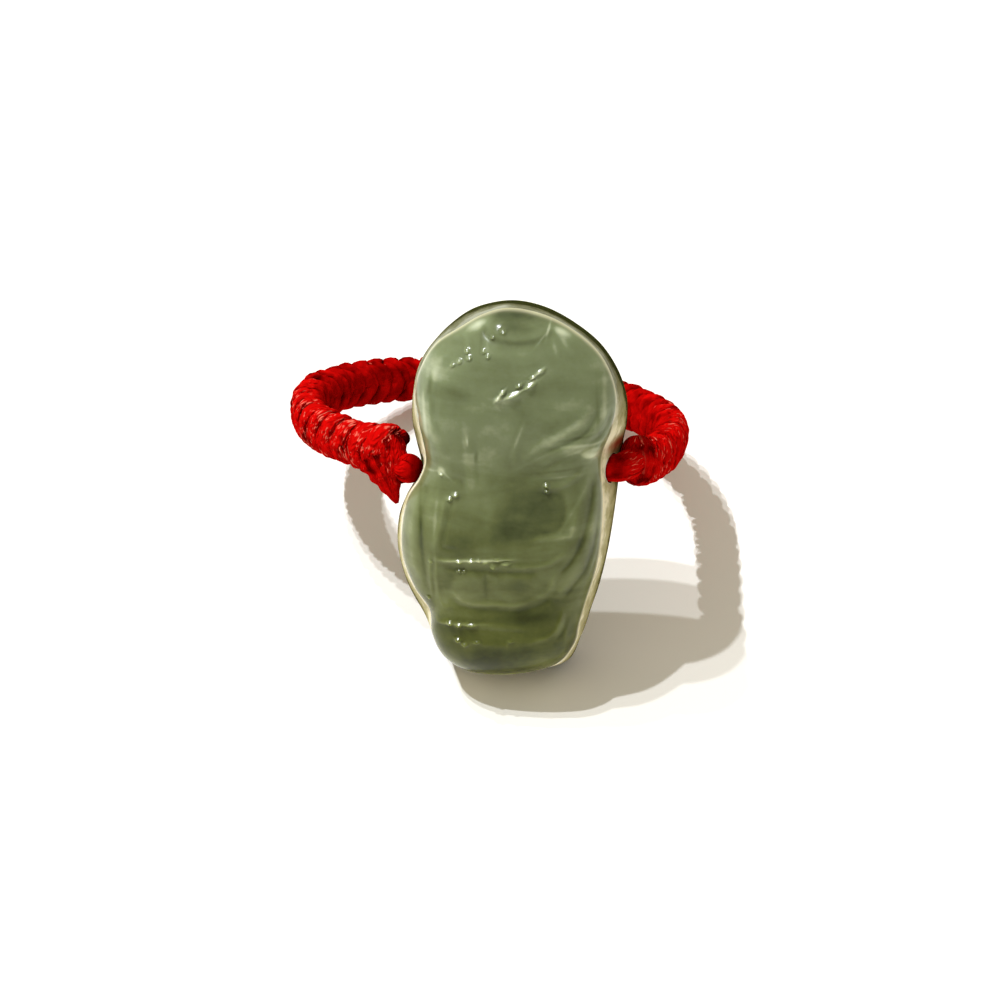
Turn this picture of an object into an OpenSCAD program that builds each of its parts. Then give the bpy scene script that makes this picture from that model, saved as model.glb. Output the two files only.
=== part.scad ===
// Finger ring: a carved jade charm on a closed band of knotted red cord.
// The ring stands by itself, leaning back: the charm's lower back edge and the
// lowest point of the band's far side touch the surface, which is at Z = 0.
// X runs to the right, Y to the back and Z up. Sizes are in millimetres.
// The origin is on the surface, under the middle of the ring's bounding box.
// In the charm's own frame X runs across it, Y along it and Z out of its face,
// with its origin at the middle of the cross hole.

/* [Stance] */
// Height of the charm's own origin above the surface
charm_height = 10.356; // [9.8:0.002:10.6]
// Lean of the charm back from upright, in degrees
charm_lean = 24; // [20:0.5:28]
// Turn of the charm's face to the left, in degrees
charm_turn = 6; // [0:0.5:10]
// Slope of the band's loop down to the back, in degrees
loop_slope = 27; // [22:0.1:30]
// Roll of the band's loop, its right side down, in degrees
loop_roll = 4.5; // [0:0.5:7]

/* [Charm] */
// Width across the charm's widest part
charm_width = 11.2; // [10.4:0.1:12]
// Length of the charm from top to bottom
charm_length = 18.3; // [17.5:0.1:19]
// Thickness of the charm at its fullest
charm_thick = 6; // [5.5:0.1:6.5]
// Height of the carved relief, as a share of the drawn one
relief_share = 1; // [0:0.1:1.5]
// Diameter of the hole drilled across the waist
hole_d = 1.45; // [1.35:0.05:1.7]
// Tilt of that hole across the charm, its right end up, in degrees
hole_tilt = 2; // [0:0.5:4]

/* [Band] */
// Inner diameter of the band's loop, which fits the finger
band_inner_d = 17; // [16.5:0.1:18]
// Thickness of the knotted band between its inner and outer faces
band_t = 1.8; // [1.6:0.05:2]
// Width of the knotted band along the finger
band_w = 2.35; // [2.1:0.05:2.5]
// How much deeper the loop is from front to back than from side to side
loop_stretch = 1.035; // [1:0.005:1.06]
// Length of one knot along the band, in degrees of the loop
knot_step = 6.62; // [6:0.02:8]
// Depth of the dip between two knots
knot_dip = 0.16; // [0:0.02:0.3]

/* [Core and ends] */
// Diameter of the cord that runs through the charm
core_d = 1.15; // [1:0.05:1.2]
// Diameter of the round knot beside the charm on the left
left_knot_d = 1.55; // [1.5:0.05:1.7]
// Diameter of the round knot beside the charm on the right
right_knot_d = 1.75; // [1.7:0.05:2]
// Length of the right knot along the cord
right_knot_l = 1; // [0.8:0.1:1.3]
// Length of the trimmed and melted cord end
tail_l = 1.15; // [0.8:0.05:1.4]

/* [Hidden] */
$fn = 48;

// Share of each drawn size that the chosen size gives
wide = charm_width / 11.2;
long = charm_length / 18.3;
thick = charm_thick / 6;
// Heights of the back face, of the widest line and of the carved face's edge
back_z = -3 * thick;
girdle_z = -1.6 * thick;
edge_rise = 0.9;
edge_z = edge_rise * thick;
// Middle that the charm's outlines shrink to, and squares across and along its face
charm_mid = [-0.2, -0.9];
face_n = [26, 46];
// Fullness of the face: how flat its middle is, and how steeply it falls to its edge
face_flat = 3.4;
face_fall = 0.75;
// Smoothing along the crest, and share of the face over which the carving fades out
crest_reach = 0.4;
carving_fade = 0.08;
// Rounding of the back's edge: share of the outline, share of the back's depth.
// The middle one carries the ring, on a low spot at each side of its foot.
back_edge = [[0.996, 0.74], [0.985, 0.9], [0.93, 1]];

// Edge of the carved face, clockwise from the top, seen from the front
face_edge = [
    [0.0, 8.15], [1.5, 7.9], [2.85, 7.25], [4.05, 6.25], [4.75, 5.05], [5.0, 3.8],
    [4.8, 2.5], [4.4, 1.4], [4.3, 0.4], [4.4, -1.0], [4.35, -2.7], [4.15, -4.4],
    [3.7, -6.0], [3.35, -7.3], [3.1, -8.4], [2.2, -9.5], [0.2, -10.1], [-1.9, -10.05],
    [-3.2, -9.3], [-3.8, -8.1], [-3.9, -6.9], [-4.6, -5.8], [-5.15, -4.3], [-5.2, -2.8],
    [-4.9, -1.3], [-4.3, -0.3], [-4.0, 0.6], [-4.15, 1.7], [-4.4, 2.9], [-4.45, 4.1],
    [-4.15, 5.3], [-3.45, 6.4], [-2.3, 7.2], [-1.2, 7.85]
];
// Widest line of the charm behind that edge, point for point
girdle = [
    [0.0, 7.75], [1.4, 7.45], [2.75, 6.75], [4.0, 5.75], [4.85, 4.5], [5.3, 3.2],
    [5.35, 2.1], [5.2, 1.2], [5.1, 0.3], [4.95, -1.2], [4.75, -2.9], [4.5, -4.5],
    [4.15, -6.1], [3.75, -7.4], [3.3, -8.8], [2.45, -10.335], [0.2, -10.0], [-2.4, -10.17],
    [-3.6, -9.3], [-4.2, -8.5], [-5.0, -7.2], [-5.5, -6.0], [-5.8, -4.5], [-5.7, -3.0],
    [-5.3, -1.9], [-4.8, -1.0], [-4.6, -0.2], [-4.8, 0.8], [-5.0, 1.9], [-4.95, 3.1],
    [-4.6, 4.7], [-3.75, 6.0], [-2.5, 7.1], [-1.3, 7.6]
];
// Height of the face along its middle: place along the charm, height
crest = [
    [-10.6, 3.4], [-9.0, 3.5], [-8.0, 3.35], [-7.1, 3.0], [-6.4, 2.4], [-5.4, 2.75],
    [-4.3, 2.85], [-3.8, 3.15], [-3.0, 3.05], [-1.5, 2.8], [-0.4, 2.6], [0.3, 2.45],
    [1.0, 2.6], [2.2, 2.85], [3.6, 3.05], [5.0, 3.2], [6.5, 3.4], [8.6, 3.4]
];
// Carved lines: points along each, half width, height (below 0 is a groove)
carved = [
    [[[-0.6, 4.0], [0.6, 4.6], [1.9, 5.6]], 0.3, 0.12],
    [[[1.4, 7.9], [2.1, 7.3], [1.6, 6.4], [0.2, 6.1], [-0.9, 6.4]], 0.25, -0.14],
    [[[-2.9, 6.2], [-3.5, 5.3], [-3.7, 3.9], [-3.4, 2.3]], 0.28, 0.14],
    [[[4.8, 3.7], [4.5, 2.9], [3.8, 2.1]], 0.28, -0.2],
    [[[4.4, 4.0], [3.9, 2.8], [3.0, 2.2], [1.8, 1.6]], 0.28, 0.14],
    [[[4.0, 3.4], [3.3, 2.5], [2.2, 1.9]], 0.25, -0.1],
    [[[-2.8, -0.5], [-3.1, -1.8], [-3.35, -3.0]], 0.25, 0.12],
    [[[2.4, -0.4], [2.75, -1.2], [2.3, -2.1]], 0.25, -0.14],
    [[[1.4, -2.4], [3.0, -2.35], [3.4, -1.0], [3.75, 0.5]], 0.27, 0.12],
    [[[3.95, 0.1], [3.8, -1.6], [3.3, -3.2], [2.5, -4.3]], 0.27, -0.18],
    [[[4.2, -1.9], [3.9, -3.6], [3.1, -5.0]], 0.25, -0.15],
    [[[-3.3, -3.65], [-1.0, -3.75], [0.9, -3.85], [2.8, -3.2]], 0.3, 0.16],
    [[[-2.9, -4.15], [-0.9, -4.2], [1.6, -4.15]], 0.27, -0.16],
    [[[-0.95, -4.2], [-0.95, -5.7]], 0.25, -0.18],
    [[[-2.5, -5.3], [-1.5, -5.9], [0.4, -5.9], [1.6, -5.4], [2.2, -4.5]], 0.25, 0.12],
    [[[-2.4, -6.2], [-0.5, -6.35], [1.4, -6.1]], 0.3, -0.12],
    [[[-3.2, -7.0], [-1.3, -6.95], [1.0, -7.05]], 0.28, 0.12],
    [[[1.1, -7.75], [2.2, -7.3], [2.7, -6.2]], 0.27, 0.14],
    [[[2.1, -7.9], [2.7, -7.2], [2.9, -6.4]], 0.25, -0.12]
];
// Raised pads: middle, half sizes, height
pads = [
    [[0.45, 7.2], [1.65, 1.0], 0.3],
    [[-1.95, -4.95], [1.0, 0.85], 0.16],
    [[0.45, -4.95], [1.45, 0.85], 0.16]
];

// Place on a closed smooth curve through the points, t in whole points
function knot_of(pts, i) = pts[(i + 2 * len(pts)) % len(pts)];
function curve_mix(a, b, c, d, f) =
    0.5 * (2 * b + (c - a) * f + (2 * a - 5 * b + 4 * c - d) * f * f + (3 * b - a - 3 * c + d) * f * f * f);
function curve_at(pts, t) =
    let (i = floor(t), f = t - i)
    curve_mix(knot_of(pts, i - 1), knot_of(pts, i), knot_of(pts, i + 1), knot_of(pts, i + 2), f);
// Distance from a point to a run of straight lines
function leg_distance(p, a, b) =
    let (ab = b - a, t = max(0, min(1, ((p - a) * ab) / (ab * ab))))
    norm(p - a - t * ab);
function run_distance(p, pts) = min([for (i = [0:len(pts) - 2]) leg_distance(p, pts[i], pts[i + 1])]);
function total(v) = [for (i = v) 1] * v;
// Relief above the plain face at a place on it
function line_relief(p) = total([for (c = carved) c[2] * exp(-pow(run_distance(p, c[0]) / c[1], 2))]);
function pad_share(p, c) =
    let (x = (p[0] - c[0][0]) / c[1][0], y = (p[1] - c[0][1]) / c[1][1])
    1 / (1 + pow(x * x + y * y, 3));
function pad_relief(p) = total([for (c = pads) c[2] * pad_share(p, c)]);
// Face height: edge height, plus the crest's height where it is full
function face_shape(s) = pow(1 - pow(s, face_flat), face_fall);
function soft_crest(v) = (lookup(v - crest_reach, crest) + 2 * lookup(v, crest) + lookup(v + crest_reach, crest)) / 4;
function face_z(p, s) =
    edge_z + (soft_crest(p[1]) - edge_rise) * thick * face_shape(s)
    + relief_share * min(1, (1 - s) / carving_fade) * (line_relief(p) + pad_relief(p));
function sized(p, z) = [p[0] * wide, p[1] * long, z];
function shrunk(p, s) = charm_mid + s * (p - charm_mid);
// A square laid onto a disc, and the place round the outlines that a disc point looks to
function on_disc(a, b) = [a * sqrt(1 - b * b / 2), b * sqrt(1 - a * a / 2)];
function outline_turn(q) = (atan2(q[0], q[1]) + 360) % 360 / 360 * len(girdle);
function face_point(i, j) =
    let (
        q = on_disc(2 * i / face_n[0] - 1, 2 * j / face_n[1] - 1),
        s = min(1, norm(q)),
        p = shrunk(curve_at(face_edge, outline_turn(q)), s)
    )
    sized(p, face_z(p, s));
// Squares' corners round the face's edge, clockwise from the upper left
rim = concat(
    [for (i = [0:face_n[0] - 1]) [i, face_n[1]]],
    [for (j = [face_n[1]:-1:1]) [face_n[0], j]],
    [for (i = [face_n[0]:-1:1]) [i, 0]],
    [for (j = [0:face_n[1] - 1]) [0, j]]
);
rim_turn = [for (r = rim) outline_turn(on_disc(2 * r[0] / face_n[0] - 1, 2 * r[1] / face_n[1] - 1))];
function wall_ring(f) = [for (t = rim_turn)
    let (a = curve_at(girdle, t), b = curve_at(face_edge, t))
    sized(a + f * (b - a), girdle_z + f * (edge_z - girdle_z))];
function back_ring(s, z) = [for (t = rim_turn) sized(shrunk(curve_at(girdle, t), s), z)];
back_rings = concat([wall_ring(0.5), wall_ring(0)], [for (e = back_edge) back_ring(e[0], e[1] * back_z)]);

// Carved face as a grid, with rings behind it down to a point on the back
module charm_solid() {
    row = face_n[0] + 1;
    n = len(rim);
    first = row * (face_n[1] + 1);
    m = len(back_rings);
    pts = concat(
        [for (j = [0:face_n[1]]) for (i = [0:face_n[0]]) face_point(i, j)],
        [for (r = back_rings) each r],
        [sized(charm_mid, back_z)]
    );
    function on_face(i, j) = j * row + i;
    function on_ring(r, k) = r == 0 ? on_face(rim[k % n][0], rim[k % n][1]) : first + (r - 1) * n + (k % n);
    face = [for (j = [0:face_n[1] - 1]) for (i = [0:face_n[0] - 1]) each [
        [on_face(i, j + 1), on_face(i + 1, j + 1), on_face(i + 1, j)],
        [on_face(i, j + 1), on_face(i + 1, j), on_face(i, j)]
    ]];
    walls = [for (r = [0:m - 1]) for (k = [0:n - 1]) each [
        [on_ring(r, k), on_ring(r + 1, k), on_ring(r + 1, k + 1)],
        [on_ring(r, k), on_ring(r + 1, k + 1), on_ring(r, k + 1)]
    ]];
    back = [for (k = [0:n - 1]) [first + m * n, on_ring(m, k + 1), on_ring(m, k)]];
    polyhedron(points = pts, faces = concat(face, walls, back), convexity = 8);
}

// Solid through a stack of rings of equal length, closed by a point at each end
module ring_solid(rings, first, last) {
    n = len(rings[0]);
    m = len(rings);
    pts = concat([first], [for (r = rings) each r], [last]);
    function at(j, k) = 1 + j * n + (k % n);
    bottom = [for (k = [0:n - 1]) [0, at(0, k + 1), at(0, k)]];
    sides = [for (j = [0:m - 2]) for (k = [0:n - 1]) each [
        [at(j, k), at(j, k + 1), at(j + 1, k + 1)],
        [at(j, k), at(j + 1, k + 1), at(j + 1, k)]
    ]];
    top = [for (k = [0:n - 1]) [1 + m * n, at(m - 1, k), at(m - 1, k + 1)]];
    polyhedron(points = pts, faces = concat(bottom, sides, top), convexity = 8);
}

// Place of the charm's own origin, and the turn of its frame as it leans
charm_at = [1.165, -6.646, charm_height];
module in_charm_frame() {
    translate(charm_at) rotate([90 - charm_lean, 0, 0]) rotate([0, -charm_turn, 0]) children();
}

// The cross hole runs along the charm's own X, a little behind its middle
hole_z = -0.3 * thick;
module across(z = 0) {
    translate([0, 0, hole_z]) rotate([0, 0, hole_tilt]) rotate([0, 90, 0]) translate([0, 0, z]) children();
}

// Middle of the band's loop, from the charm's own origin
loop_mid = [-1.16, 9.19, -4.72];
// Radius of the band's middle line
loop_r = (band_inner_d + band_t) / 2;
// The band starts beside the left knot and ends beside the right one, in
// degrees round the loop from its front. Past the last angle it runs out wider.
band_start = 27;
band_stop = 323;
band_turn = 284;
band_flare = 0.0014;
band_rise = 0.00045;
band_sides = 16;
// How much fuller the band is at its corners than an ellipse
band_corner = 0.1;
// Rounding of its two ends: its length in knots, and the share left at the end
end_length = 0.6;
end_share = 0.67;
steps_per_knot = 4;
knots = floor((band_stop - band_start) / knot_step);
steps = knots * steps_per_knot;
function past(a) = pow(max(0, a - band_turn), 2);
function band_point(a) = let (r = loop_r + band_flare * past(a)) [-r * sin(a), -r * loop_stretch * cos(a), band_rise * past(a)];
function band_ahead(a) = let (d = band_point(a + 0.5) - band_point(a - 0.5)) d / norm(d);
// Dip between the knots, and the rounding of both ends
function dip(t) = knot_dip * (1 - abs(sin(180 * t * knots)));
function end_round(t) = let (e = min(t, 1 - t) * knots / end_length) e >= 1 ? 1 : max(end_share, sqrt(1 - pow(1 - e, 2)));
function band_ring(j) =
    let (
        t = j / steps,
        a = band_start + t * (band_stop - band_start),
        p = band_point(a),
        ahead = band_ahead(a),
        out = cross(ahead, [0, 0, 1]) / norm(cross(ahead, [0, 0, 1])),
        up = cross(out, ahead),
        half_t = (band_t / 2 - dip(t)) * end_round(t),
        half_w = (band_w / 2 - dip(t)) * end_round(t)
    )
    [for (k = [0:band_sides - 1])
        let (w = 360 * k / band_sides, q = 1 + band_corner * pow(sin(2 * w), 2))
        p + q * (half_t * cos(w) * out + half_w * sin(w) * up)];
function ring_mid(r) = [for (i = [0:2]) total([for (p = r) p[i]]) / len(r)];

module in_loop_frame() {
    translate(charm_at) translate(loop_mid) rotate([-loop_slope, 0, 0]) rotate([0, loop_roll, 0]) children();
}

// Places of the two knots beside the charm, and the cord between them, which
// ends a small gap before each
left_knot_x = -5.02;
right_knot_x = 5.42;
knot_gap = 0.05;
core_left = left_knot_x + left_knot_d / 2 + knot_gap;
core_right = right_knot_x - right_knot_l / 2 - knot_gap;

module jade_charm() {
    color([0.44, 0.5, 0.38]) in_charm_frame() difference() {
        charm_solid();
        across(-10) cylinder(h = 20, d = hole_d);
    }
}

module knotted_band() {
    rings = [for (j = [0:steps]) band_ring(j)];
    color([0.8, 0.03, 0.05]) in_loop_frame() ring_solid(rings, ring_mid(rings[0]), ring_mid(rings[steps]));
}

module core_cord() {
    color([0.55, 0.02, 0.03]) in_charm_frame() across(core_left) cylinder(h = core_right - core_left, d = core_d);
}

// Round knot of cord at the hole's mouth
module at_mouth(x) {
    color([0.75, 0.03, 0.05]) in_charm_frame() across(x) children();
}

module end_knot_left() {
    at_mouth(left_knot_x) sphere(d = left_knot_d);
}

module end_knot_right() {
    at_mouth(right_knot_x) intersection() {
        sphere(d = right_knot_d);
        cylinder(h = right_knot_l, d = 2 * right_knot_d, center = true);
    }
}

// Trimmed end of the knotting cord, melted to a point under the band's left end
tail_root = [-5.95, 0.6, -1.19];
tail_tilt = 40;
tail_turn = -14;
tail_root_r = 0.42;
tail_tip_r = 0.1;
module cut_tail() {
    color([0.6, 0.02, 0.03]) translate(charm_at) translate(tail_root)
        rotate([180 - tail_tilt, tail_turn, 0]) cylinder(h = tail_l, r1 = tail_root_r, r2 = tail_tip_r);
}

jade_charm();
knotted_band();
core_cord();
end_knot_left();
end_knot_right();
cut_tail();
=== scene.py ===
"""Finger ring: a carved jade charm on a closed band of knotted red cord.

Sizes below are in millimetres and are turned to metres where a mesh, a light or the camera is made.
The charm's own frame has X across it, Y along it and Z out of its face; the loop's own frame has the
band's loop in its XY plane. Both frames, the outlines and the band's route are those of the solids.
"""

import math

import bpy
import numpy as np
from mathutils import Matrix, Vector


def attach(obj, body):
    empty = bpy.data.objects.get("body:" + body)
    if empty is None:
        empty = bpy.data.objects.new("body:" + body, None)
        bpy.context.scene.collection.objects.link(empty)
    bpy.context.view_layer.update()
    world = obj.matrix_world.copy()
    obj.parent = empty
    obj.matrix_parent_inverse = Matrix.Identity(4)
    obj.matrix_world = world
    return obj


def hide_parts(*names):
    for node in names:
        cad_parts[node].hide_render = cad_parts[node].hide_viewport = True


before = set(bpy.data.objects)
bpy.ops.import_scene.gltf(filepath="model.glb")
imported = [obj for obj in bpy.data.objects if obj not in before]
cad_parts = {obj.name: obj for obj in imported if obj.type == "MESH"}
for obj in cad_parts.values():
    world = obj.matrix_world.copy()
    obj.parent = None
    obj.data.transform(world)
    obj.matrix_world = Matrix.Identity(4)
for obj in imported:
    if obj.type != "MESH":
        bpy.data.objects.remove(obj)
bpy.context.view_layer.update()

MM = 0.001
# Scale of a random pattern whose lumps are 1 mm apart, for places in metres
PER_MM = 1 / MM
X_AXIS, Y_AXIS, Z_AXIS = np.eye(3)

# Stance of the ring
CHARM_AT = np.array([1.165, -6.646, 10.356])
CHARM_LEAN = 24
CHARM_TURN = 6
LOOP_MID = CHARM_AT + np.array([-1.16, 9.19, -4.72])
LOOP_SLOPE = 27
LOOP_ROLL = 4.5

# Charm: heights of its back, widest line and face edge, and the hole across it
BACK_Z = -3.0
GIRDLE_Z = -1.6
EDGE_Z = 0.9
HOLE_D = 1.45
HOLE_Z = -0.3
HOLE_TILT = 2
# Half length of the round tool that cuts the hole
HOLE_REACH = 10.0
CHARM_MID = np.array([-0.2, -0.9])
# Grid lines across and along the carved face, rings down its wall and over its back
FACE_ACROSS = 200
FACE_ALONG = 330
WALL_RINGS = 13
# Bulge of the wall, and the share of the way down it from which the stone is left unpolished
WALL_BULGE = 0.22
BACK_FROM = 0.98
# Angle between faces from which an edge looks crisp
SHARP_ANGLE = 50
# Rounding of the back's edge: share of the outline, height
BACK_EDGE = [(1.0, -1.6), (0.996, -2.22), (0.985, -2.7), (0.93, -3.0)]
# Rings on the flat back: shares of the outline
BACK_RINGS = (0.8, 0.55, 0.28)
# Powers that keep the face full towards its edge and then let it fall
FACE_FULL = 4.6
FACE_FALL = 0.75
# Way from the edge, as a share of the way to the middle, over which the carving fades out
CARVING_FADE = 0.05
# Reach of the mean that softens the crest
CREST_REACH = 1.2

# Band: its middle line, section and knots
BAND_INNER_D = 17
BAND_T = 1.8
BAND_W = 2.35
LOOP_STRETCH = 1.035
LOOP_R = (BAND_INNER_D + BAND_T) / 2
BAND_START = 27
BAND_STOP = 323
BAND_TURN = 284
BAND_FLARE = 0.0014
BAND_RISE = 0.00045
KNOT_STEP = 6.62
KNOTS = int((BAND_STOP - BAND_START) / KNOT_STEP)
# Turns of cord: points round a turn and round the cord, and the cord's half sizes
TURNS = 2 * KNOTS
TURN_STEPS = 96
CORD_STEPS = 10
CORD_HALF_WIDE = 0.33
CORD_HALF_HIGH = 0.27
# Lag of a turn at the band's edges in degrees of the loop, and how much the stitches vary the cord's size
LEAN = 3.0
STITCH_RISE = 0.06
# Size of a turn as a share of the band's, how far it stands out and how much it widens on its broad side,
# and how many radians above the band's outer side its broad or narrow side lies
TURN_SIZE = 0.93
TURN_PROUD = 0.14
TURN_BROAD = 0.6
SIDE_SHIFT = 0.8
# Degrees of the loop that the turns and the plain core keep from the band's ends
TURN_MARGIN = 0.8
CORE_MARGIN = 0.9
# Degrees over which the core narrows at its ends, and to what share
CORE_TAPER = 1.6
CORE_END = 0.4
# How much wider the band's first turn is, and over how many turns that fades
FIRST_TURNS_WIDER = 0.34
FIRST_TURNS = 2.4
# Angles round the loop before and after which the cord gets painted light, painted glints and deeper
# texture, and degrees over which that fades
PAINTED_LIGHT_LEFT = 118
PAINTED_LIGHT_RIGHT = 235
PAINTED_LIGHT_FADE = 25
# Points along and round the plain core under the turns
CORE_ROWS = 240
CORE_STEPS = 20

# Braid of the cord: length of a stitch and width of a column of stitches
STITCH_MM = 0.46
COLUMN_MM = 0.44

# Core cord and the round knots on it
CORE_D = 1.15
LEFT_KNOT_X = -5.02
LEFT_KNOT_D = 1.55
RIGHT_KNOT_X = 5.42
RIGHT_KNOT_L = 1.0
RIGHT_KNOT_R = 0.64
KNOT_GAP = 0.05
KNOB_R = 0.72
CORE_LEFT = LEFT_KNOT_X + LEFT_KNOT_D / 2 + KNOT_GAP
CORE_RIGHT = RIGHT_KNOT_X - RIGHT_KNOT_L / 2 - KNOT_GAP
# Length over which the core cord's ends are rounded
CORE_ROUND = 0.15
# Right knot: how far it starts before and runs on past its own length, how much it widens on the way, the
# length of its rounded end, and where, how far and how steeply it bends back into the band
RIGHT_KNOT_BEFORE = 0.4
RIGHT_KNOT_PAST = 0.3
RIGHT_KNOT_WIDENS = 0.12
RIGHT_KNOT_ROUND = 0.7
RIGHT_KNOT_BEND = 0.4
RIGHT_KNOT_BACK = 0.9
RIGHT_KNOT_FALL = 0.25
# Least radius of a tube, where a knot or a lump closes
TIP_R = 0.03

# Trimmed end of the cord: its root, tilt and turn, the radius of its tip and its length
TAIL_ROOT = np.array([-5.95, 0.6, -1.19])
TAIL_TILT = 40
TAIL_TURN = -14
TAIL_TIP_R = 0.08
TAIL_L = 1.15
# Length of its part inside the band's end, its shift to the right and its slant to the left for each mm
TAIL_HIDDEN = 1.3
TAIL_ASIDE = 0.7
TAIL_SLANT = 0.61
# How fast it widens from its tip, and its uneven melted surface: height and spacing of the lumps
TAIL_WIDENS = 0.5
TAIL_LUMP = 0.07
TAIL_LUMP_STEP = 0.62

# Thick last turns at the band's ends: name, middle, half height, half width, painted light and texture, and
# painted edge glint
BAND_LUMPS = [
    ("band_end_left", (-5.85, 1.3, -0.25), 1.1, 0.85, 0.7, 0.0),
    ("band_end_right", (6.03, 0.75, 0.0), 1.18, 0.92, 0.6, 0.95),
]

# Loose fibres: the first one's root, the step to the next root, the ways to their tips, arch and radius
FIBRE_ROOT = np.array([-5.25, 0.55, 0.15])
FIBRE_STEP = np.array([0.036, 0, -0.12])
FIBRE_TIPS = [(0.35, -0.3, 0.55), (0.45, -0.35, 0.35), (0.2, -0.3, 0.7), (0.5, -0.2, 0.15)]
FIBRE_ARCH = 0.15
FIBRE_R = 0.022

# Jade: its refractive index, and how far light goes into it
JADE_IOR = 1.6
JADE_GLOW_DEPTH = 0.4

# Camera: distance from the charm's hole, angle above the surface, focal length and picture shift
CAMERA_FAR = 115
CAMERA_HIGH = 41.5
CAMERA_LENS = 86.94
CAMERA_SHIFT = (-0.012, -0.03)

# Floor: half its side, and how far it lies under the ring
FLOOR_HALF = 700
FLOOR_DROP = 0.02

# Lamps: distance, size and colour, then the direction and power of each
LAMP_FAR = 1000
LAMP_SIZE = 15
LAMP_COLOUR = (0.97, 1.0, 1.03)
LAMPS = [
    ("lamp_low", (-0.44, 0.06, 1.0), 4.9),
    ("lamp_mid", (-0.45, 0.16, 1.0), 3.4),
    ("lamp_high", (-0.45, 0.32, 1.0), 2.9),
]

# Edge of the carved face, clockwise from the top, seen from the front
FACE_EDGE = [
    (0.0, 8.15), (1.5, 7.9), (2.85, 7.25), (4.05, 6.25), (4.75, 5.05), (5.0, 3.8),
    (4.8, 2.5), (4.4, 1.4), (4.3, 0.4), (4.4, -1.0), (4.35, -2.7), (4.15, -4.4),
    (3.7, -6.0), (3.35, -7.3), (3.1, -8.4), (2.2, -9.5), (0.2, -10.1), (-1.9, -10.05),
    (-3.2, -9.3), (-3.8, -8.1), (-3.9, -6.9), (-4.6, -5.8), (-5.15, -4.3), (-5.2, -2.8),
    (-4.9, -1.3), (-4.3, -0.3), (-4.0, 0.6), (-4.15, 1.7), (-4.4, 2.9), (-4.45, 4.1),
    (-4.15, 5.3), (-3.45, 6.4), (-2.3, 7.2), (-1.2, 7.85),
]
# Widest line of the charm behind that edge, point for point
GIRDLE = [
    (0.0, 7.75), (1.4, 7.45), (2.75, 6.75), (4.0, 5.75), (4.85, 4.5), (5.3, 3.2),
    (5.35, 2.1), (5.2, 1.2), (5.1, 0.3), (4.95, -1.2), (4.75, -2.9), (4.5, -4.5),
    (4.15, -6.1), (3.75, -7.4), (3.3, -8.8), (2.45, -10.335), (0.2, -10.0), (-2.4, -10.17),
    (-3.6, -9.3), (-4.2, -8.5), (-5.0, -7.2), (-5.5, -6.0), (-5.8, -4.5), (-5.7, -3.0),
    (-5.3, -1.9), (-4.8, -1.0), (-4.6, -0.2), (-4.8, 0.8), (-5.0, 1.9), (-4.95, 3.1),
    (-4.6, 4.7), (-3.75, 6.0), (-2.5, 7.1), (-1.3, 7.6),
]
# Height of the face along its middle: place along the charm, height
CREST = [
    (-10.6, 3.4), (-9.0, 3.5), (-8.0, 3.35), (-7.1, 3.0), (-6.4, 2.4), (-5.4, 2.75),
    (-4.3, 2.85), (-3.8, 3.15), (-3.0, 3.05), (-1.5, 2.8), (-0.4, 2.6), (0.3, 2.45),
    (1.0, 2.6), (2.2, 2.85), (3.6, 3.05), (5.0, 3.2), (6.5, 3.4), (8.6, 3.4),
]

# Carved lines: points along each, half width, height (below 0 is a groove)
HEAD_TOP = [
    ([(1.6, 7.8), (2.1, 7.5), (1.9, 7.1), (1.2, 6.85), (0.4, 6.8), (-0.5, 6.9), (-1.0, 7.2),
      (-1.1, 7.6)], 0.16, -0.13),
    ([(-2.0, 7.0), (-1.7, 6.1)], 0.12, 0.07),
    ([(-2.7, 5.55), (-2.2, 5.95)], 0.10, 0.06),
    ([(-2.9, 6.3), (-3.4, 5.5), (-3.65, 4.5), (-3.7, 3.4), (-3.5, 2.4), (-3.0, 1.4)], 0.20, 0.12),
    ([(-2.6, 6.1), (-3.05, 5.4), (-3.3, 4.5), (-3.3, 3.4), (-3.1, 2.5)], 0.16, -0.06),
    ([(-0.6, 4.0), (0.3, 4.35), (1.1, 4.85), (1.9, 5.7)], 0.25, 0.10),
    ([(-0.5, 4.15), (-0.05, 4.5)], 0.09, 0.07),
    ([(0.1, 4.25), (0.8, 4.55), (1.3, 4.9)], 0.08, 0.07),
    ([(0.4, 4.5), (1.0, 5.0), (1.8, 5.6)], 0.08, -0.06),
]
MANE = [
    ([(4.9, 3.7), (4.65, 3.0), (4.3, 2.45), (3.8, 2.1)], 0.15, -0.20),
    ([(4.55, 4.0), (4.3, 3.2), (3.9, 2.6), (3.2, 2.15), (2.4, 1.8)], 0.22, 0.17),
    ([(4.25, 3.75), (3.9, 3.0), (3.4, 2.5), (2.6, 2.1), (1.8, 1.8)], 0.14, -0.15),
    ([(3.9, 4.0), (3.4, 3.1), (2.7, 2.6), (1.9, 2.2), (1.2, 1.7), (0.7, 1.1)], 0.22, 0.12),
    ([(2.9, 1.6), (2.2, 1.2), (1.7, 0.8)], 0.13, -0.08),
    ([(0.8, 3.2), (0.5, 2.5), (0.4, 1.7), (0.45, 0.9)], 0.18, 0.08),
    ([(-1.4, 2.0), (-1.35, 1.0), (-1.3, 0.1)], 0.15, -0.08),
    ([(-1.8, 1.2), (-1.75, 0), (-1.75, -0.8)], 0.17, 0.06),
    ([(-2.0, 2.35), (-1.9, 2.0)], 0.08, 0.05),
    ([(-3.1, 0.8), (-3.05, 0.55)], 0.15, 0.08),
]
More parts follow.
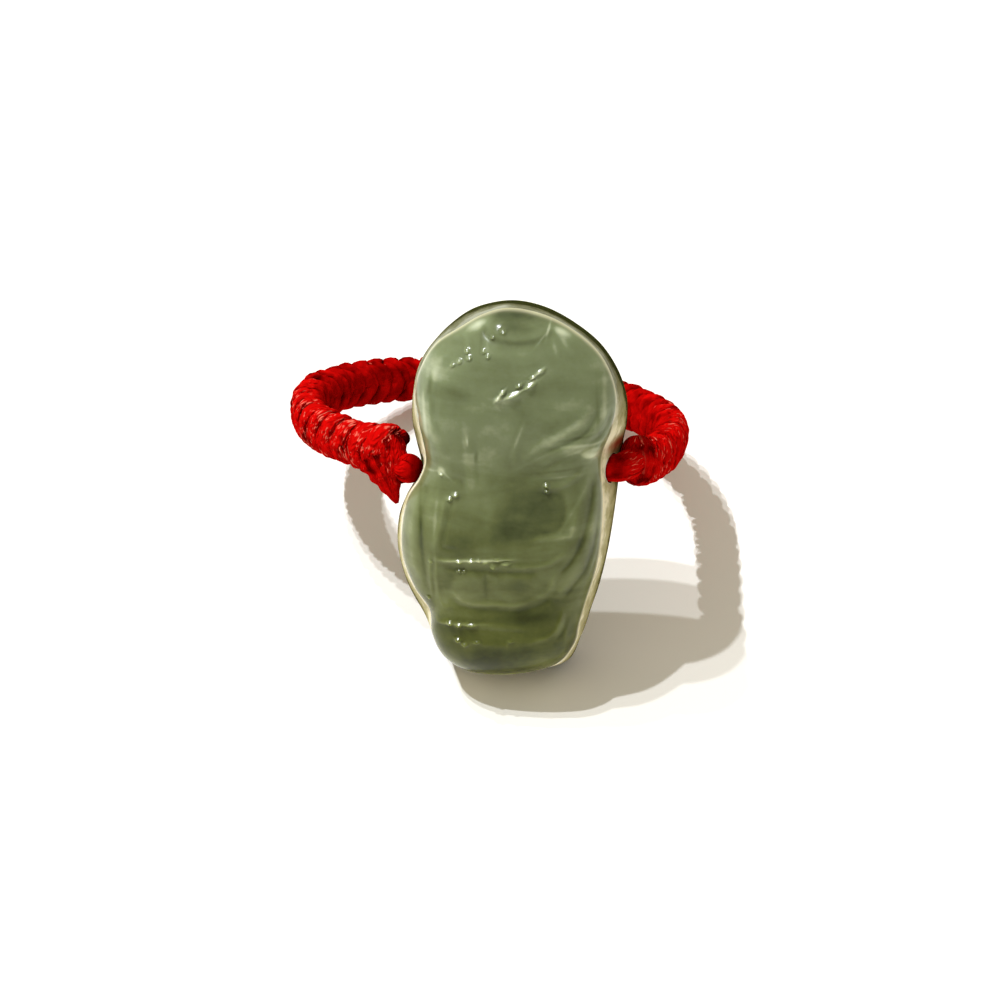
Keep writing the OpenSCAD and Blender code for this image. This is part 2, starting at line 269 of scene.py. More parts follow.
BROW = [
    ([(-2.75, -0.4), (-2.95, -1.0), (-3.15, -2.0), (-3.35, -3.0)], 0.14, 0.10),
    ([(-2.6, -0.9), (-2.8, -1.9), (-3.0, -2.95), (-2.3, -3.1)], 0.12, -0.08),
    ([(-2.75, -0.65), (-2.2, -0.4)], 0.13, 0.10),
    ([(-2.9, 0.15), (-2.3, 0.25), (-2.05, 0.1), (-2.1, -0.2)], 0.12, -0.10),
    ([(1.3, -0.3), (2.4, -0.35), (2.7, -0.8), (2.7, -1.4), (2.4, -2.0), (1.8, -2.15),
      (1.0, -2.1)], 0.15, -0.08),
    ([(1.5, 0.1), (2.2, 0), (2.8, 0.2), (3.4, 0.6), (3.7, 1.0)], 0.15, 0.12),
    ([(1.6, 0.45), (2.3, 0.35), (3, 0.55)], 0.12, -0.08),
    ([(1.9, 0.25), (1.9, -0.25)], 0.09, 0.08),
    ([(1.3, -2.45), (2.2, -2.35), (3.0, -2.35), (3.2, -1.9), (3.4, -1.0), (3.65, 0),
      (3.8, 0.6)], 0.14, 0.11),
]
RIGHT_SIDE = [
    ([(3.95, 0.2), (3.9, -0.8), (3.75, -1.8), (3.5, -2.7), (3.1, -3.5), (2.5, -4.3)], 0.15, -0.20),
    ([(4.15, -0.4), (4.05, -1.6), (3.8, -2.7), (3.4, -3.7), (2.9, -4.6), (2.3, -5.4)], 0.18, 0.12),
    ([(4.3, -1.5), (4.15, -2.6), (3.9, -3.6), (3.55, -4.4), (3.1, -5.0), (2.7, -5.6)], 0.14, -0.20),
    ([(4.2, -3.3), (3.98, -4.3), (3.65, -5.1), (3.3, -5.9)], 0.16, 0.08),
]
LEFT_SIDE = [
    ([(-4.1, -0.4), (-4.45, -1.5), (-4.6, -2.8), (-4.5, -4.0), (-4.2, -5.0)], 0.17, 0.08),
    ([(-3.75, -0.3), (-3.95, -1.5), (-4.1, -2.8), (-3.95, -4.2), (-3.85, -5.4)], 0.17, -0.10),
    ([(-3.6, -3.3), (-3.65, -4.5), (-3.65, -5.8)], 0.10, 0.10),
    ([(-3.3, -3.3), (-3.35, -4.4), (-3.3, -5.5), (-3.15, -6.1), (-2.85, -6.2),
      (-2.5, -6.0)], 0.11, 0.08),
]
MOUTH = [
    ([(-3.3, -3.65), (-2.2, -3.72), (-1, -3.75), (0, -3.85), (0.9, -3.85), (1.9, -3.7),
      (2.8, -3.2)], 0.13, 0.16),
    ([(-3.0, -4.05), (-1.8, -4.1), (-0.9, -4.1), (0.4, -4.15), (1.6, -4.1)], 0.12, -0.09),
    ([(-0.6, -3.75), (-0.6, -4.15)], 0.07, 0.10),
    ([(-0.95, -4.1), (-0.93, -5.8)], 0.10, -0.11),
    ([(-2.6, -5.2), (-2.2, -5.7), (-1.5, -5.88), (-0.4, -5.88), (0.4, -5.9), (1.1, -5.65), (1.7, -5.3),
      (2.1, -4.9), (2.3, -4.3)], 0.14, 0.14),
    ([(-2.7, -5.7), (-2.0, -6.1), (-0.5, -6.2), (0.6, -6.2), (1.5, -5.9), (2.1, -5.4)], 0.16, -0.12),
]
MUZZLE = [
    ([(-3.4, -7.0), (-2.6, -6.95), (-1.3, -6.95), (0, -7.0), (1.0, -7.05)], 0.15, 0.10),
    ([(1.1, -7.75), (1.9, -7.55), (2.35, -7.2), (2.55, -6.7), (2.7, -6.2)], 0.12, 0.16),
    ([(2.3, -7.8), (2.7, -7.2), (2.85, -6.5)], 0.12, -0.14),
    ([(2.75, -7.0), (2.8, -7.8), (2.65, -8.5), (2.2, -9.0)], 0.12, 0.10),
    ([(-2.5, -7.75), (-1.1, -7.92), (0.3, -7.92)], 0.14, 0.08),
    ([(0.15, -8.0), (0, -8.6)], 0.09, 0.05),
]
CARVED = HEAD_TOP + MANE + BROW + RIGHT_SIDE + LEFT_SIDE + MOUTH + MUZZLE
# Raised pads: middle, half sizes, height
PADS = [
    ((0.55, 7.55), (1.55, 0.68), 0.17),
    ((3.95, 1.6), (0.45, 0.3), 0.10),
    ((-1.75, -4.95), (0.75, 0.75), 0.09),
    ((0.4, -4.95), (1.15, 0.75), 0.09),
]
# Height of the carving at which its painted tone is full: painted shade in grooves, painted light on ridges
RELIEF_FULL = 0.2
# Share of the drawn height that the polish has left of each carved line
CARVING_LEFT = 0.34
# Length over which a carved line fades at its ends, and the share of its height left there
LINE_TAPER = 0.35
LINE_END = 0.25
# Fine sharp ridges that catch the lamps: points along each, half width, height
GLINTS = [
    ([(-3.3, -3.72), (-2.1, -3.62), (-0.8, -3.55), (0.5, -3.45)], 0.07, 0.06),
    ([(-0.7, -3.6), (-0.45, -4.0)], 0.05, 0.06),
    ([(-3.5, -7.05), (-2.6, -6.98), (-1.7, -6.85)], 0.07, 0.06),
    ([(0.1, -7.7), (0.05, -8.1)], 0.06, 0.06),
]
# Small flat facets that catch the lamps: middle, half sizes, turn in degrees
FACETS = [
    ((-0.32, 4.42), (0.20, 0.11), 50), ((-0.12, 4.70), (0.18, 0.11), 50), ((0.42, 4.62), (0.48, 0.13), 28),
    ((0.66, 5.06), (0.22, 0.09), 42), ((1.16, 5.06), (0.34, 0.12), 36), ((1.28, 5.44), (0.18, 0.08), 42),
    ((1.62, 5.68), (0.24, 0.09), 32), ((-1.86, 6.40), (0.12, 0.12), 0), ((-1.74, 6.13), (0.13, 0.12), 0),
    ((-2.2, 5.93), (0.12, 0.11), 0), ((-2.5, 5.76), (0.13, 0.09), 35), ((-0.18, 7.35), (0.15, 0.13), 0),
    ((-0.67, 7.07), (0.09, 0.09), 0), ((-1.06, 6.46), (0.11, 0.10), 0), ((-0.85, 6.26), (0.10, 0.10), 0),
    ((1.86, 0.15), (0.11, 0.12), 0), ((1.88, -0.13), (0.10, 0.11), 0), ((-2.40, -0.47), (0.16, 0.12), 10),
    ((-2.68, -0.67), (0.13, 0.12), 0), ((-3.12, 0.4), (0.11, 0.09), 0), ((-3.58, -3.8), (0.10, 0.09), 0),
    ((-2.2, -3.66), (0.13, 0.09), 0), ((-1.62, -3.57), (0.15, 0.09), 20), ((-1.26, -3.53), (0.10, 0.09), 0),
    ((-0.93, -3.62), (0.13, 0.09), 10), ((-0.41, -3.47), (0.11, 0.09), 0), ((0.0, -3.66), (0.20, 0.10), 3),
    ((-0.6, -3.84), (0.10, 0.12), 0), ((-2.22, -4.13), (0.10, 0.10), 0), ((-1.98, -4.11), (0.10, 0.10), 0),
    ((-3.81, -5.94), (0.09, 0.09), 0), ((-2.72, -6.93), (0.15, 0.12), 0), ((-2.28, -6.99), (0.15, 0.11), 10),
    ((-1.72, -6.93), (0.32, 0.10), 5), ((-2.32, -7.72), (0.16, 0.14), 0),
    ((-2.0, -7.92), (0.15, 0.13), 0), ((-1.39, -7.77), (0.16, 0.10), 0), ((0.21, -7.66), (0.10, 0.10), 0),
]
# How far a facet's middle stands out, in its half widths
FACET_LIFT = 0.8
# Painted highlight along the face's edge: width, as a share of the way to the middle, and strength
EDGE_HIGHLIGHT_WIDTH = 0.008
EDGE_HIGHLIGHT_SHARE = 0.7
# Paler (above 0) and darker patches: clouds in the stone, with painted highlights along edges and ridges,
# painted reflected light under the boss and painted shade on the muzzle and chin: middle, half sizes, turn
# in degrees, strength
CLOUDS_AND_PAINTED_LIGHT = [
    # Top of the head
    # Painted highlights: the thin pale lines along the boss's edge and the cream patch at the upper left;
    # painted reflected light: the paler patch under the boss
    ((0.35, 7.5), (1.7, 0.7), 0, -0.80), ((0.3, 8.0), (3.0, 0.5), 0, -0.35),
    ((1.4, 7.65), (0.6, 0.28), 0, 0.16), ((0.72, 6.5), (1.0, 0.42), 8, 0.16),
    ((-0.9, 6.4), (0.5, 0.6), 0, 0.12), ((1.3, 7.95), (0.6, 0.06), -16, 0.60),
    ((1.87, 7.4), (0.38, 0.06), 78, 0.60), ((1.55, 6.95), (0.35, 0.06), 50, 0.45),
    ((0.55, 6.3), (0.75, 0.26), 4, 0.08), ((2.6, 6.8), (0.45, 0.12), -55, 0.30),
    ((2.2, 6.6), (0.4, 0.1), -70, 0.25), ((-1.35, 7.52), (0.6, 0.2), 30, 1.05),
    ((2.4, 7.25), (0.5, 0.14), -28, 0.80), ((-0.9, 6.9), (0.12, 0.5), 0, 0.25),
    ((-1.2, 6.9), (0.1, 0.5), 0, -0.20),
    # Upper half
    ((-3.95, 3.2), (0.45, 1.7), 0, 0.18), ((-3.65, 4.6), (0.13, 0.7), -12, -0.45),
    ((-2.6, 5.6), (1.0, 0.5), 30, 0.12), ((0.0, 5.6), (1.2, 0.5), 30, -0.10),
    ((3.0, 4.1), (2.0, 0.42), 30, 0.20), ((4.1, 4.6), (0.6, 0.6), 0, -0.14),
    ((4.5, 3.8), (1.5, 0.12), -88, 0.30), ((4.2, 3.7), (1.3, 0.08), -86, -0.20),
    ((-3.9, 3.4), (1.4, 0.1), -86, 0.30), ((-3.55, 4.3), (1.3, 0.12), -86, -0.22),
    # Painted highlights along the streak
    ((0.48, 4.64), (0.45, 0.06), 28, 0.80), ((-0.22, 4.55), (0.34, 0.05), 52, 0.80),
    ((1.2, 5.12), (0.25, 0.05), 42, 0.80), ((1.4, 5.48), (0.4, 0.04), 42, 0.60),
    ((-1.2, 5.1), (1.0, 0.7), 0, -0.24), ((-2.6, 4.1), (0.9, 1.0), 0, -0.14),
    ((-3.4, 5.0), (0.35, 0.6), -20, 0.20), ((3.9, 3.0), (0.9, 0.9), 20, 0.10),
    ((-3.5, 5.0), (0.8, 0.9), 0, 0.14), ((4.1, 4.9), (0.7, 1.3), 0, 0.16),
    # Waist
    ((2.7, 2.7), (1.4, 0.25), 35, 0.18), ((3.5, 2.05), (1.0, 0.09), 0, 0.30),
    ((1.6, 1.5), (1.05, 0.1), 29, 0.24), ((3.3, 1.75), (1.0, 0.08), 20, 0.20),
    ((3.9, 1.45), (0.42, 0.18), -25, 0.40), ((3.4, 2.45), (0.9, 0.08), 8, -0.30),
    ((2.6, 0.5), (1.0, 0.09), 4, 0.26), ((2.4, 0.8), (1.0, 0.07), 7, -0.26),
    ((-3.1, 0.55), (0.16, 0.16), 0, 0.60), ((-3.7, 0.4), (0.4, 0.08), 15, 0.30),
    ((-2.75, 0.3), (0.3, 0.07), -40, 0.25), ((-1.8, 2.2), (0.22, 0.05), -85, 0.50),
    ((0.6, 2.5), (0.75, 0.08), 70, 0.28), ((0.4, 2.45), (0.8, 0.1), 70, -0.18),
    ((-1.4, 1.4), (0.28, 0.07), 84, -0.40), ((-1.6, 0.1), (1.0, 0.3), 90, 0.16),
    ((3.6, 0.6), (0.5, 0.8), 0, -0.14), ((2.3, 2.6), (1.6, 0.22), 28, 0.16),
    ((2.9, 1.75), (1.5, 0.2), 15, 0.22), ((2.2, 1.1), (1.0, 0.3), 20, -0.10),
    ((-1.9, 2.1), (0.14, 1.1), 0, 0.16), ((-1.2, 0.7), (0.5, 1.1), 0, 0.14),
    ((0.5, 1.5), (0.5, 1.4), -10, -0.12), ((-3.1, 0.6), (0.35, 0.3), 0, 0.35),
    ((3.75, 0.4), (0.35, 1.0), -8, 0.20),
    # Eyes and brow
    ((0.6, -1.4), (1.4, 0.9), 0, -0.12), ((2.3, -1.3), (0.8, 0.8), 0, -0.14),
    ((3.2, -1.0), (1.2, 0.1), 60, 0.22), ((-3.5, -2.75), (0.4, 0.7), 0, 0.22),
    ((3.6, -2.2), (0.4, 0.8), 0, -0.10), ((0.5, -1.5), (1.7, 1.9), 0, -0.30),
    ((-3.6, -1.7), (0.35, 1.2), 0, 0.24), ((-2.1, -1.8), (1.1, 1.2), 0, -0.12),
    ((-3.35, -1.8), (0.1, 1.2), -4, 0.28), ((-0.85, -1.6), (0.25, 1.2), 0, 0.16),
    ((1.9, -1.1), (0.9, 0.9), 0, -0.12), ((2.95, -1.1), (0.25, 1.1), 10, 0.30),
    ((2.2, -2.45), (1.2, 0.12), 4, 0.22), ((-4.6, -2.6), (0.4, 2.0), 4, 0.30),
    ((-4.05, -2.5), (0.1, 1.9), 4, -0.35),
    # Mouth
    # The first two are a painted highlight along the mouth's ridge
    ((-1.3, -3.58), (1.2, 0.05), 3, 0.45), ((0.0, -3.68), (0.3, 0.05), 3, 0.50),
    ((0.6, -4.9), (0.7, 0.6), 0, -0.22), ((0.6, -5.0), (2.0, 1.2), 0, -0.16),
    ((-1.0, -3.55), (2.4, 0.12), 2, 0.20), ((-1.6, -5.0), (0.7, 0.6), 0, -0.16),
    ((0.4, -5.0), (0.9, 0.6), 0, -0.16), ((-3.4, -5.2), (0.1, 1.0), 0, 0.22),
    ((-0.6, -5.9), (1.7, 0.12), 2, 0.22), ((2.2, -5.1), (0.9, 0.14), 45, 0.16),
    ((1.2, -6.5), (1.9, 0.34), 4, -0.34), ((-2.3, -6.45), (0.9, 0.2), 0, 0.05),
    ((2.9, -4.3), (0.5, 0.9), 0, 0.10), ((3.6, -3.6), (0.25, 1.5), 12, -0.15),
    # Muzzle and chin
    # The first is a painted highlight along the lip; the darker patches on the muzzle and chin are painted
    # shade
    ((-1.9, -6.94), (0.9, 0.05), 3, 0.50), ((-1.35, -9.3), (1.1, 0.45), 0, -0.40),
    ((1.55, -9.3), (0.8, 0.4), 0, 0.30), ((2.6, -7.0), (0.14, 0.8), -25, 0.30),
    ((-3.1, -7.9), (0.5, 0.9), 0, -0.10), ((-0.3, -8.6), (2.6, 1.0), 0, -0.34),
    ((-1.2, -8.7), (0.9, 0.6), 0, -0.22), ((1.6, -8.6), (0.7, 0.6), 0, 0.18),
    ((-2.3, -7.5), (0.8, 0.4), 0, -0.16), ((-1.8, -8.3), (0.3, 0.5), 0, 0.20),
    ((1.2, -9.3), (1.2, 0.3), 0, -0.15), ((-0.2, -9.95), (2.3, 0.12), 2, 0.45),
]
# The same on the wall, where the pale patches at the top left are painted highlights
WALL_CLOUDS_AND_PAINTED_LIGHT = [
    ((-1.5, 7.7), (0.6, 0.35), 20, 0.7),
    ((-0.5, 8.0), (0.5, 0.3), 0, 0.5),
    ((5.3, 1.9), (0.9, 0.6), 0, 1.1),
    ((1.0, 7.9), (0.7, 0.3), 0, -0.5),
    ((3.2, 6.7), (1.2, 0.4), -45, -0.5),
]
# Place where the red of the cord is painted on, as if it showed through the thin stone beside the hole's
# right mouth
CORD_GLOW = ((5.0, 1.3), (0.5, 0.36), 0)
CORD_GLOW_SHARE = 0.9


def spin(axis, degrees):
    """Rotation matrix about the X, Y or Z axis by the right-hand rule."""
    c = math.cos(math.radians(degrees))
    s = math.sin(math.radians(degrees))
    rows = {
        "x": [[1, 0, 0], [0, c, -s], [0, s, c]],
        "y": [[c, 0, s], [0, 1, 0], [-s, 0, c]],
        "z": [[c, -s, 0], [s, c, 0], [0, 0, 1]],
    }
    return np.array(rows[axis])


CHARM_AXES = spin("x", 90 - CHARM_LEAN) @ spin("y", -CHARM_TURN)
LOOP_AXES = spin("x", -LOOP_SLOPE) @ spin("y", LOOP_ROLL)
HOLE_AXES = CHARM_AXES @ spin("z", HOLE_TILT) @ spin("y", 90)
HOLE_AT = CHARM_AT + CHARM_AXES @ np.array([0, 0, HOLE_Z])
# The camera's axes in columns: to the right, up, and back from the charm to the camera
CAMERA_AXES = spin("x", 90 - CAMERA_HIGH)


def in_charm(points):
    """Points of the charm's own frame, in the ring's frame."""
    return CHARM_AT + points @ CHARM_AXES.T


def in_loop(points):
    """Points of the loop's own frame, in the ring's frame."""
    return LOOP_MID + points @ LOOP_AXES.T


def along_hole(points):
    """Points with Z along the cross hole from its middle, in the ring's frame."""
    return HOLE_AT + points @ HOLE_AXES.T


def closed_curve(points, t):
    """Catmull-Rom curve through a ring of points; t counts points from the first and wraps round."""
    p = np.asarray(points, float)
    i = np.floor(t).astype(int)
    f = (t - i)[..., None]
    a, b, c, d = (p[(i + k) % len(p)] for k in (-1, 0, 1, 2))
    return 0.5 * (2 * b + (c - a) * f + (2 * a - 5 * b + 4 * c - d) * f**2 + (3 * b - a - 3 * c + d) * f**3)


def open_curve(points, parts=6):
    """Catmull-Rom curve through a run of points, each span cut into equal parts."""
    p = np.asarray(points, float)
    ends = np.vstack([2 * p[0] - p[1], p, 2 * p[-1] - p[-2]])
    t = np.linspace(0, len(p) - 1, (len(p) - 1) * parts + 1)
    i = np.minimum(t.astype(int), len(p) - 2)
    f = (t - i)[:, None]
    a, b, c, d = (ends[i + k] for k in (0, 1, 2, 3))
    return 0.5 * (2 * b + (c - a) * f + (2 * a - 5 * b + 4 * c - d) * f**2 + (3 * b - a - 3 * c + d) * f**3)


def line_mark(p, points):
    """Distance from each place to a smooth line, and how far along it the nearest place lies, in mm."""
    run = open_curve(points)
    legs = run[1:] - run[:-1]
    spans = np.hypot(legs[:, 0], legs[:, 1])
    far = np.full(p.shape[:-1], np.inf)
    along = np.zeros(p.shape[:-1])
    done = 0.0
    for start, leg, span in zip(run[:-1], legs, spans):
        away = p - start
        t = np.clip((away @ leg) / span**2, 0, 1)
        gap = np.hypot(away[..., 0] - t * leg[0], away[..., 1] - t * leg[1])
        nearer = gap < far
        far = np.where(nearer, gap, far)
        along = np.where(nearer, done + t * span, along)
        done += span
    return far, along, done


def relief(p):
    """Carving above the plain face.

    Each line adds its height times a bell curve of the distance over its half width, and fades to the
    share LINE_END over the last LINE_TAPER of its length. Each pad adds its height times a plateau.
    """
    height = np.zeros(p.shape[:-1])
    lines = [(run, wide, CARVING_LEFT * rise) for run, wide, rise in CARVED] + GLINTS
    for points, half_width, rise in lines:
        far, along, length = line_mark(p, points)
        inside = np.clip(np.minimum(along, length - along) / LINE_TAPER, 0, 1)
        fade = LINE_END + (1 - LINE_END) * inside
        height += rise * fade * np.exp(-((far / half_width) ** 2))
    for middle, half, rise in PADS:
        height += rise * plateau(p, middle, half, 0)
    return height


def turned(away, half, degrees):
    """Distances from a middle in half sizes, which are turned anticlockwise."""
    c = math.cos(math.radians(degrees))
    s = math.sin(math.radians(degrees))
    return away @ np.array([[c, -s], [s, c]]) / np.array(half)


def patch(p, middle, half, degrees):
    """Soft patch: a bell curve of the distance in half sizes."""
    return np.exp(-(turned(p - np.array(middle), half, degrees) ** 2).sum(-1))


def plateau(p, middle, half, degrees):
    """Flat-topped patch: 1 over 1 + the 8th power of the distance in half sizes."""
    return 1 / (1 + (turned(p - np.array(middle), half, degrees) ** 2).sum(-1) ** 4)


def unit(v):
    """Vectors of length 1."""
    return v / np.linalg.norm(v, axis=-1, keepdims=True)


def faceted(z, flat):
    """Face heights with the small facets cut in.

    A facet is a plane that faces half way between the camera and the middle lamp, so that it shines. It
    passes FACET_LIFT half sizes above the face at its middle, and takes the place of the face by the
    share that its plateau gives.
    """
    normal = CHARM_AXES.T @ (unit(np.array(LAMPS[1][1])) + CAMERA_AXES[:, 2])
    slope = -normal[:2] / normal[2]
    for middle, half, degrees in FACETS:
        away = flat - np.array(middle)
        nearest = np.argmin((away**2).sum(-1))
        plane = z.flat[nearest] + FACET_LIFT * half[1] + away @ slope
        z = z + plateau(flat, middle, half, degrees) * (plane - z)
    return z


def crest_height(v):
    """Height of the face along its middle, softened by the mean over CREST_REACH each way."""
    places, heights = np.array(CREST).T
    steps = np.linspace(-CREST_REACH, CREST_REACH, 13)
    return sum(np.interp(v + step, places, heights) for step in steps) / len(steps)


def grid_quads(rows, columns, first=0, closed=False):
    """Quads between neighbouring points of a grid; a closed grid joins its last column to its first."""
    r = np.arange(rows - 1)[:, None]
    c = np.arange(columns if closed else columns - 1)[None, :]
    d = (c + 1) % columns
    corners = [r * columns + c, r * columns + d, (r + 1) * columns + d, (r + 1) * columns + c]
    return (first + np.stack([k + 0 * c for k in corners], -1)).reshape(-1, 4)


def ring_join(rows, columns, first):
    """Quads that join the last row of a closed tube to its first."""
    j = np.arange(columns)
    after = (j + 1) % columns
    last = first + (rows - 1) * columns
    return np.column_stack([first + j, first + after, last + after, last + j])


def closed_ends(rows, columns, first):
    """Faces of a tube whose ends are closed by one point each, which follow the tube's points."""
    j = np.arange(columns)
    after = (j + 1) % columns
    last = first + (rows - 1) * columns
    start_point = first + rows * columns
    start = np.column_stack([first + j, first + after, np.full(columns, start_point)])
    end = np.column_stack([last + after, last + j, np.full(columns, start_point + 1)])
    return [grid_quads(rows, columns, first, closed=True)[:, ::-1], start, end]


def make_piece(name, points, faces, material, replaced, uv, marks):
    """Adds a mesh from points in mm and faces of point numbers, and lets it ride on the ring.

    uv gives a place in mm for each point; marks are named numbers for each point.
    """
    mesh = bpy.data.meshes.new(name)
    mesh.from_pydata((points * MM).tolist(), [], [f for group in faces for f in group.tolist()])
    corners = np.zeros(len(mesh.loops), np.int32)
    mesh.loops.foreach_get("vertex_index", corners)
    mesh.uv_layers.new(name="UVMap").data.foreach_set("uv", uv[corners].astype(np.float32).ravel())
    for mark, values in marks.items():
        layer = mesh.attributes.new(mark, "FLOAT", "POINT")
        layer.data.foreach_set("value", values.astype(np.float32).ravel())
    mesh.shade_smooth()
    mesh.materials.append(material)
    piece = bpy.data.objects.new(name, mesh)
    bpy.context.scene.collection.objects.link(piece)
    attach(piece, "root")
    if replaced:
        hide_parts(replaced)
    return piece


def linear(hex_colour):
    """Colour of a shader socket from an sRGB hex value."""
    parts = [int(hex_colour[i:i + 2], 16) / 255 for i in (0, 2, 4)]
    return [p / 12.92 if p <= 0.04045 else ((p + 0.055) / 1.055) ** 2.4 for p in parts] + [1.0]


def new_material(name):
    """Material with an empty node tree, and that tree."""
    material = bpy.data.materials.new(name)
    material.use_nodes = True
    material.node_tree.nodes.clear()
    return material, material.node_tree


def add(tree, kind, inputs=(), out=0, stops=(), **settings):
    """Adds a shader node with its settings, and gives back one of its outputs.

    A kind in capitals is the operation of a Math node. inputs are a list in the node's own order, or
    named; each is a value or another node's output. stops are the places and sRGB colours of a ramp.
    """
    if kind.isupper():
        settings["operation"] = kind
        kind = "Math"
    made = tree.nodes.new("ShaderNode" + kind)
    for setting, value in settings.items():
        setattr(made, setting, value)
    for socket, value in (inputs if isinstance(inputs, dict) else dict(enumerate(inputs))).items():
        if isinstance(value, bpy.types.NodeSocket):
            tree.links.new(value, made.inputs[socket])
        else:
            made.inputs[socket].default_value = value
    if stops:
        elements = made.color_ramp.elements
        for end in (0, -1):
            elements[end].position = stops[end][0]
            elements[end].color = linear(stops[end][1])
        for place, colour in stops[1:-1]:
            elements.new(place).color = linear(colour)
    return made.outputs[out] if len(made.outputs) else None


def jade_shader(tree, colour, roughness, gloss):
    """Stone that lets light a little way in, and blue light less far."""
    shader = add(tree, "BsdfPrincipled", {
        "Base Color": colour,
        "Roughness": roughness,
        "IOR": JADE_IOR,
        "Specular IOR Level": gloss,
        "Subsurface Weight": 1.0,
        "Subsurface Radius": (1.0, 1.0, 0.7),
        "Subsurface Scale": JADE_GLOW_DEPTH * MM,
    })
    add(tree, "OutputMaterial", {"Surface": shader})


def polished_jade():
    """Grey-green jade, carved and polished.

    Light goes a little way into the stone and comes out again, which softens the carving. Pale veins run
    through it and the upper part is greyer. Much of the tone is painted light and shade: the upper part is
    paler, the ridges of the carving paler and its grooves darker, patches and lines hold painted highlights
    and shade, a painted highlight runs along the face's edge, and the red of the cord is painted on the
    stone beside the hole as if light came through. The polish gives small sharp glints on facets and ridges.
    """
    material, tree = new_material("polished_jade")
    place = add(tree, "TexCoord", out="Object")
    flat = add(tree, "UVMap", uv_map="UVMap")
    carving, clouds_and_painted_light, edge, glow = (add(tree, "Attribute", attribute_name=mark, out="Fac")
                                  for mark in ("carving", "clouds_and_painted_light", "edge", "glow"))
    # Veins about 4.5 by 1.7 mm, and cloudy grain about 0.8 mm across
    drawn = add(tree, "Mapping", {"Vector": flat, "Rotation": (0, 0, 0.9), "Scale": (0.22, 0.6, 1)})
    vein = add(tree, "TexNoise", {"Vector": drawn, "Scale": 1.0, "Detail": 4.0, "Distortion": 0.5})
    grain = add(tree, "TexNoise", {"Vector": place, "Scale": 1.3 * PER_MM, "Detail": 3.0, "Roughness": 0.6})
    # The stone turns greyer from 3 to 14.5 mm above the floor, and paler as painted light; lower down it is
    # darker as painted shade
    height = add(tree, "SeparateXYZ", [place], out="Z")
    high = add(tree, "MapRange", [height, 3 * MM, 14.5 * MM])
    # The tone is a sum of the veins, the grain, the carving, the clouds and the height
    veined = add(tree, "MULTIPLY_ADD", [vein, 0.9, -0.35])
    mottled = add(tree, "MULTIPLY_ADD", [grain, 0.3, veined])
    # The carving's height paints shade in the grooves and light on the ridges
    carved = add(tree, "MULTIPLY_ADD", [carving, 0.45, mottled])
    clouded = add(tree, "MULTIPLY_ADD", [clouds_and_painted_light, 0.7, carved])
    tone = add(tree, "MULTIPLY_ADD", [high, 0.28, clouded])
    lower = add(tree, "ValToRGB", [tone],
                stops=[(0.0, "32370A"), (0.3, "585D25"), (0.6, "767B4A"), (1.0, "B0B388")])
    upper = add(tree, "ValToRGB", [tone],
                stops=[(0.0, "464D32"), (0.3, "666E4D"), (0.6, "7B8563"), (1.0, "BCC2A6")])
    face = add(tree, "Mix", {0: high, 6: lower, 7: upper}, out=2, data_type="RGBA")
    # Painted highlight along the face's edge
    edge_highlighted = add(tree, "Mix", {0: edge, 6: face, 7: linear("D2CDAC")}, out=2, data_type="RGBA")
    # Painted red light of the cord beside the hole
    reddened = add(tree, "Mix", {0: glow, 6: edge_highlighted, 7: linear("7C1A0E")}, out=2, data_type="RGBA")
    jade_shader(tree, reddened, 0.16, 0.15)
    return material


def satin_jade():
    """The same jade on the wall round the face: satin, without glints, with cream and brown patches and
    painted light and shade.
    """
    material, tree = new_material("satin_jade")
    place = add(tree, "TexCoord", out="Object")
    depth, clouds_and_painted_light, glow = (add(tree, "Attribute", attribute_name=mark, out="Fac")
                          for mark in ("depth", "clouds_and_painted_light", "glow"))
    # Patches about 1.1 mm across
    spots = add(tree, "TexNoise", {"Vector": place, "Scale": 0.9 * PER_MM, "Detail": 4.0, "Roughness": 0.65})
    uneven = add(tree, "MULTIPLY_ADD", [spots, 0.7, -0.35])
    # Painted light and shade: cream near the face's edge, as if light came through the stone there, turning
    # to a dark band towards the widest line
    sunk = add(tree, "MULTIPLY_ADD", [depth, 0.5, uneven])
    # The wall's patches make it paler or darker, those at the top left as painted highlights
    clouded = add(tree, "MULTIPLY_ADD", [clouds_and_painted_light, -0.16, sunk])
    wall = add(tree, "ValToRGB", [clouded],
               stops=[(0.0, "DDD4B2"), (0.14, "A69E77"), (0.32, "807952"), (0.42, "4C4826"), (0.6, "403E20"),
                      (1.0, "54583A")])
    # Near the top, from 12.5 to 15 mm above the floor, the wall is darker and greyer
    height = add(tree, "SeparateXYZ", [place], out="Z")
    high = add(tree, "MapRange", [height, 12.5 * MM, 15 * MM])
    shaded = add(tree, "Mix", {0: high, 6: wall, 7: linear("959DA3")}, out=2, data_type="RGBA",
                 blend_type="MULTIPLY")
    # Painted red light of the cord beside the hole
    reddened = add(tree, "Mix", {0: glow, 6: shaded, 7: linear("7C1A0E")}, out=2, data_type="RGBA")
    jade_shader(tree, reddened, 0.5, 0.0)
    return material


def ground_jade():
    """The same jade on the back, ground but not polished, so it is duller and darker."""
    material, tree = new_material("ground_jade")
    place = add(tree, "TexCoord", out="Object")
    depth = add(tree, "Attribute", attribute_name="depth", out="Fac")
    # Mottling about 2 mm across
    mottle = add(tree, "TexNoise", {"Vector": place, "Scale": 0.5 * PER_MM, "Detail": 5.0, "Roughness": 0.6})
    stone = add(tree, "ValToRGB", [mottle], stops=[(0.3, "4C5230"), (0.7, "6B7350")])
    # The rounded edge is darker than the flat back, as painted shade along the stone's outline
    inward = add(tree, "MapRange", [depth, 1.3, 1.6])
    shaded = add(tree, "Mix", {0: inward, 6: linear("24260F"), 7: stone}, out=2, data_type="RGBA")
    jade_shader(tree, shaded, 0.5, 0.0)
    return material


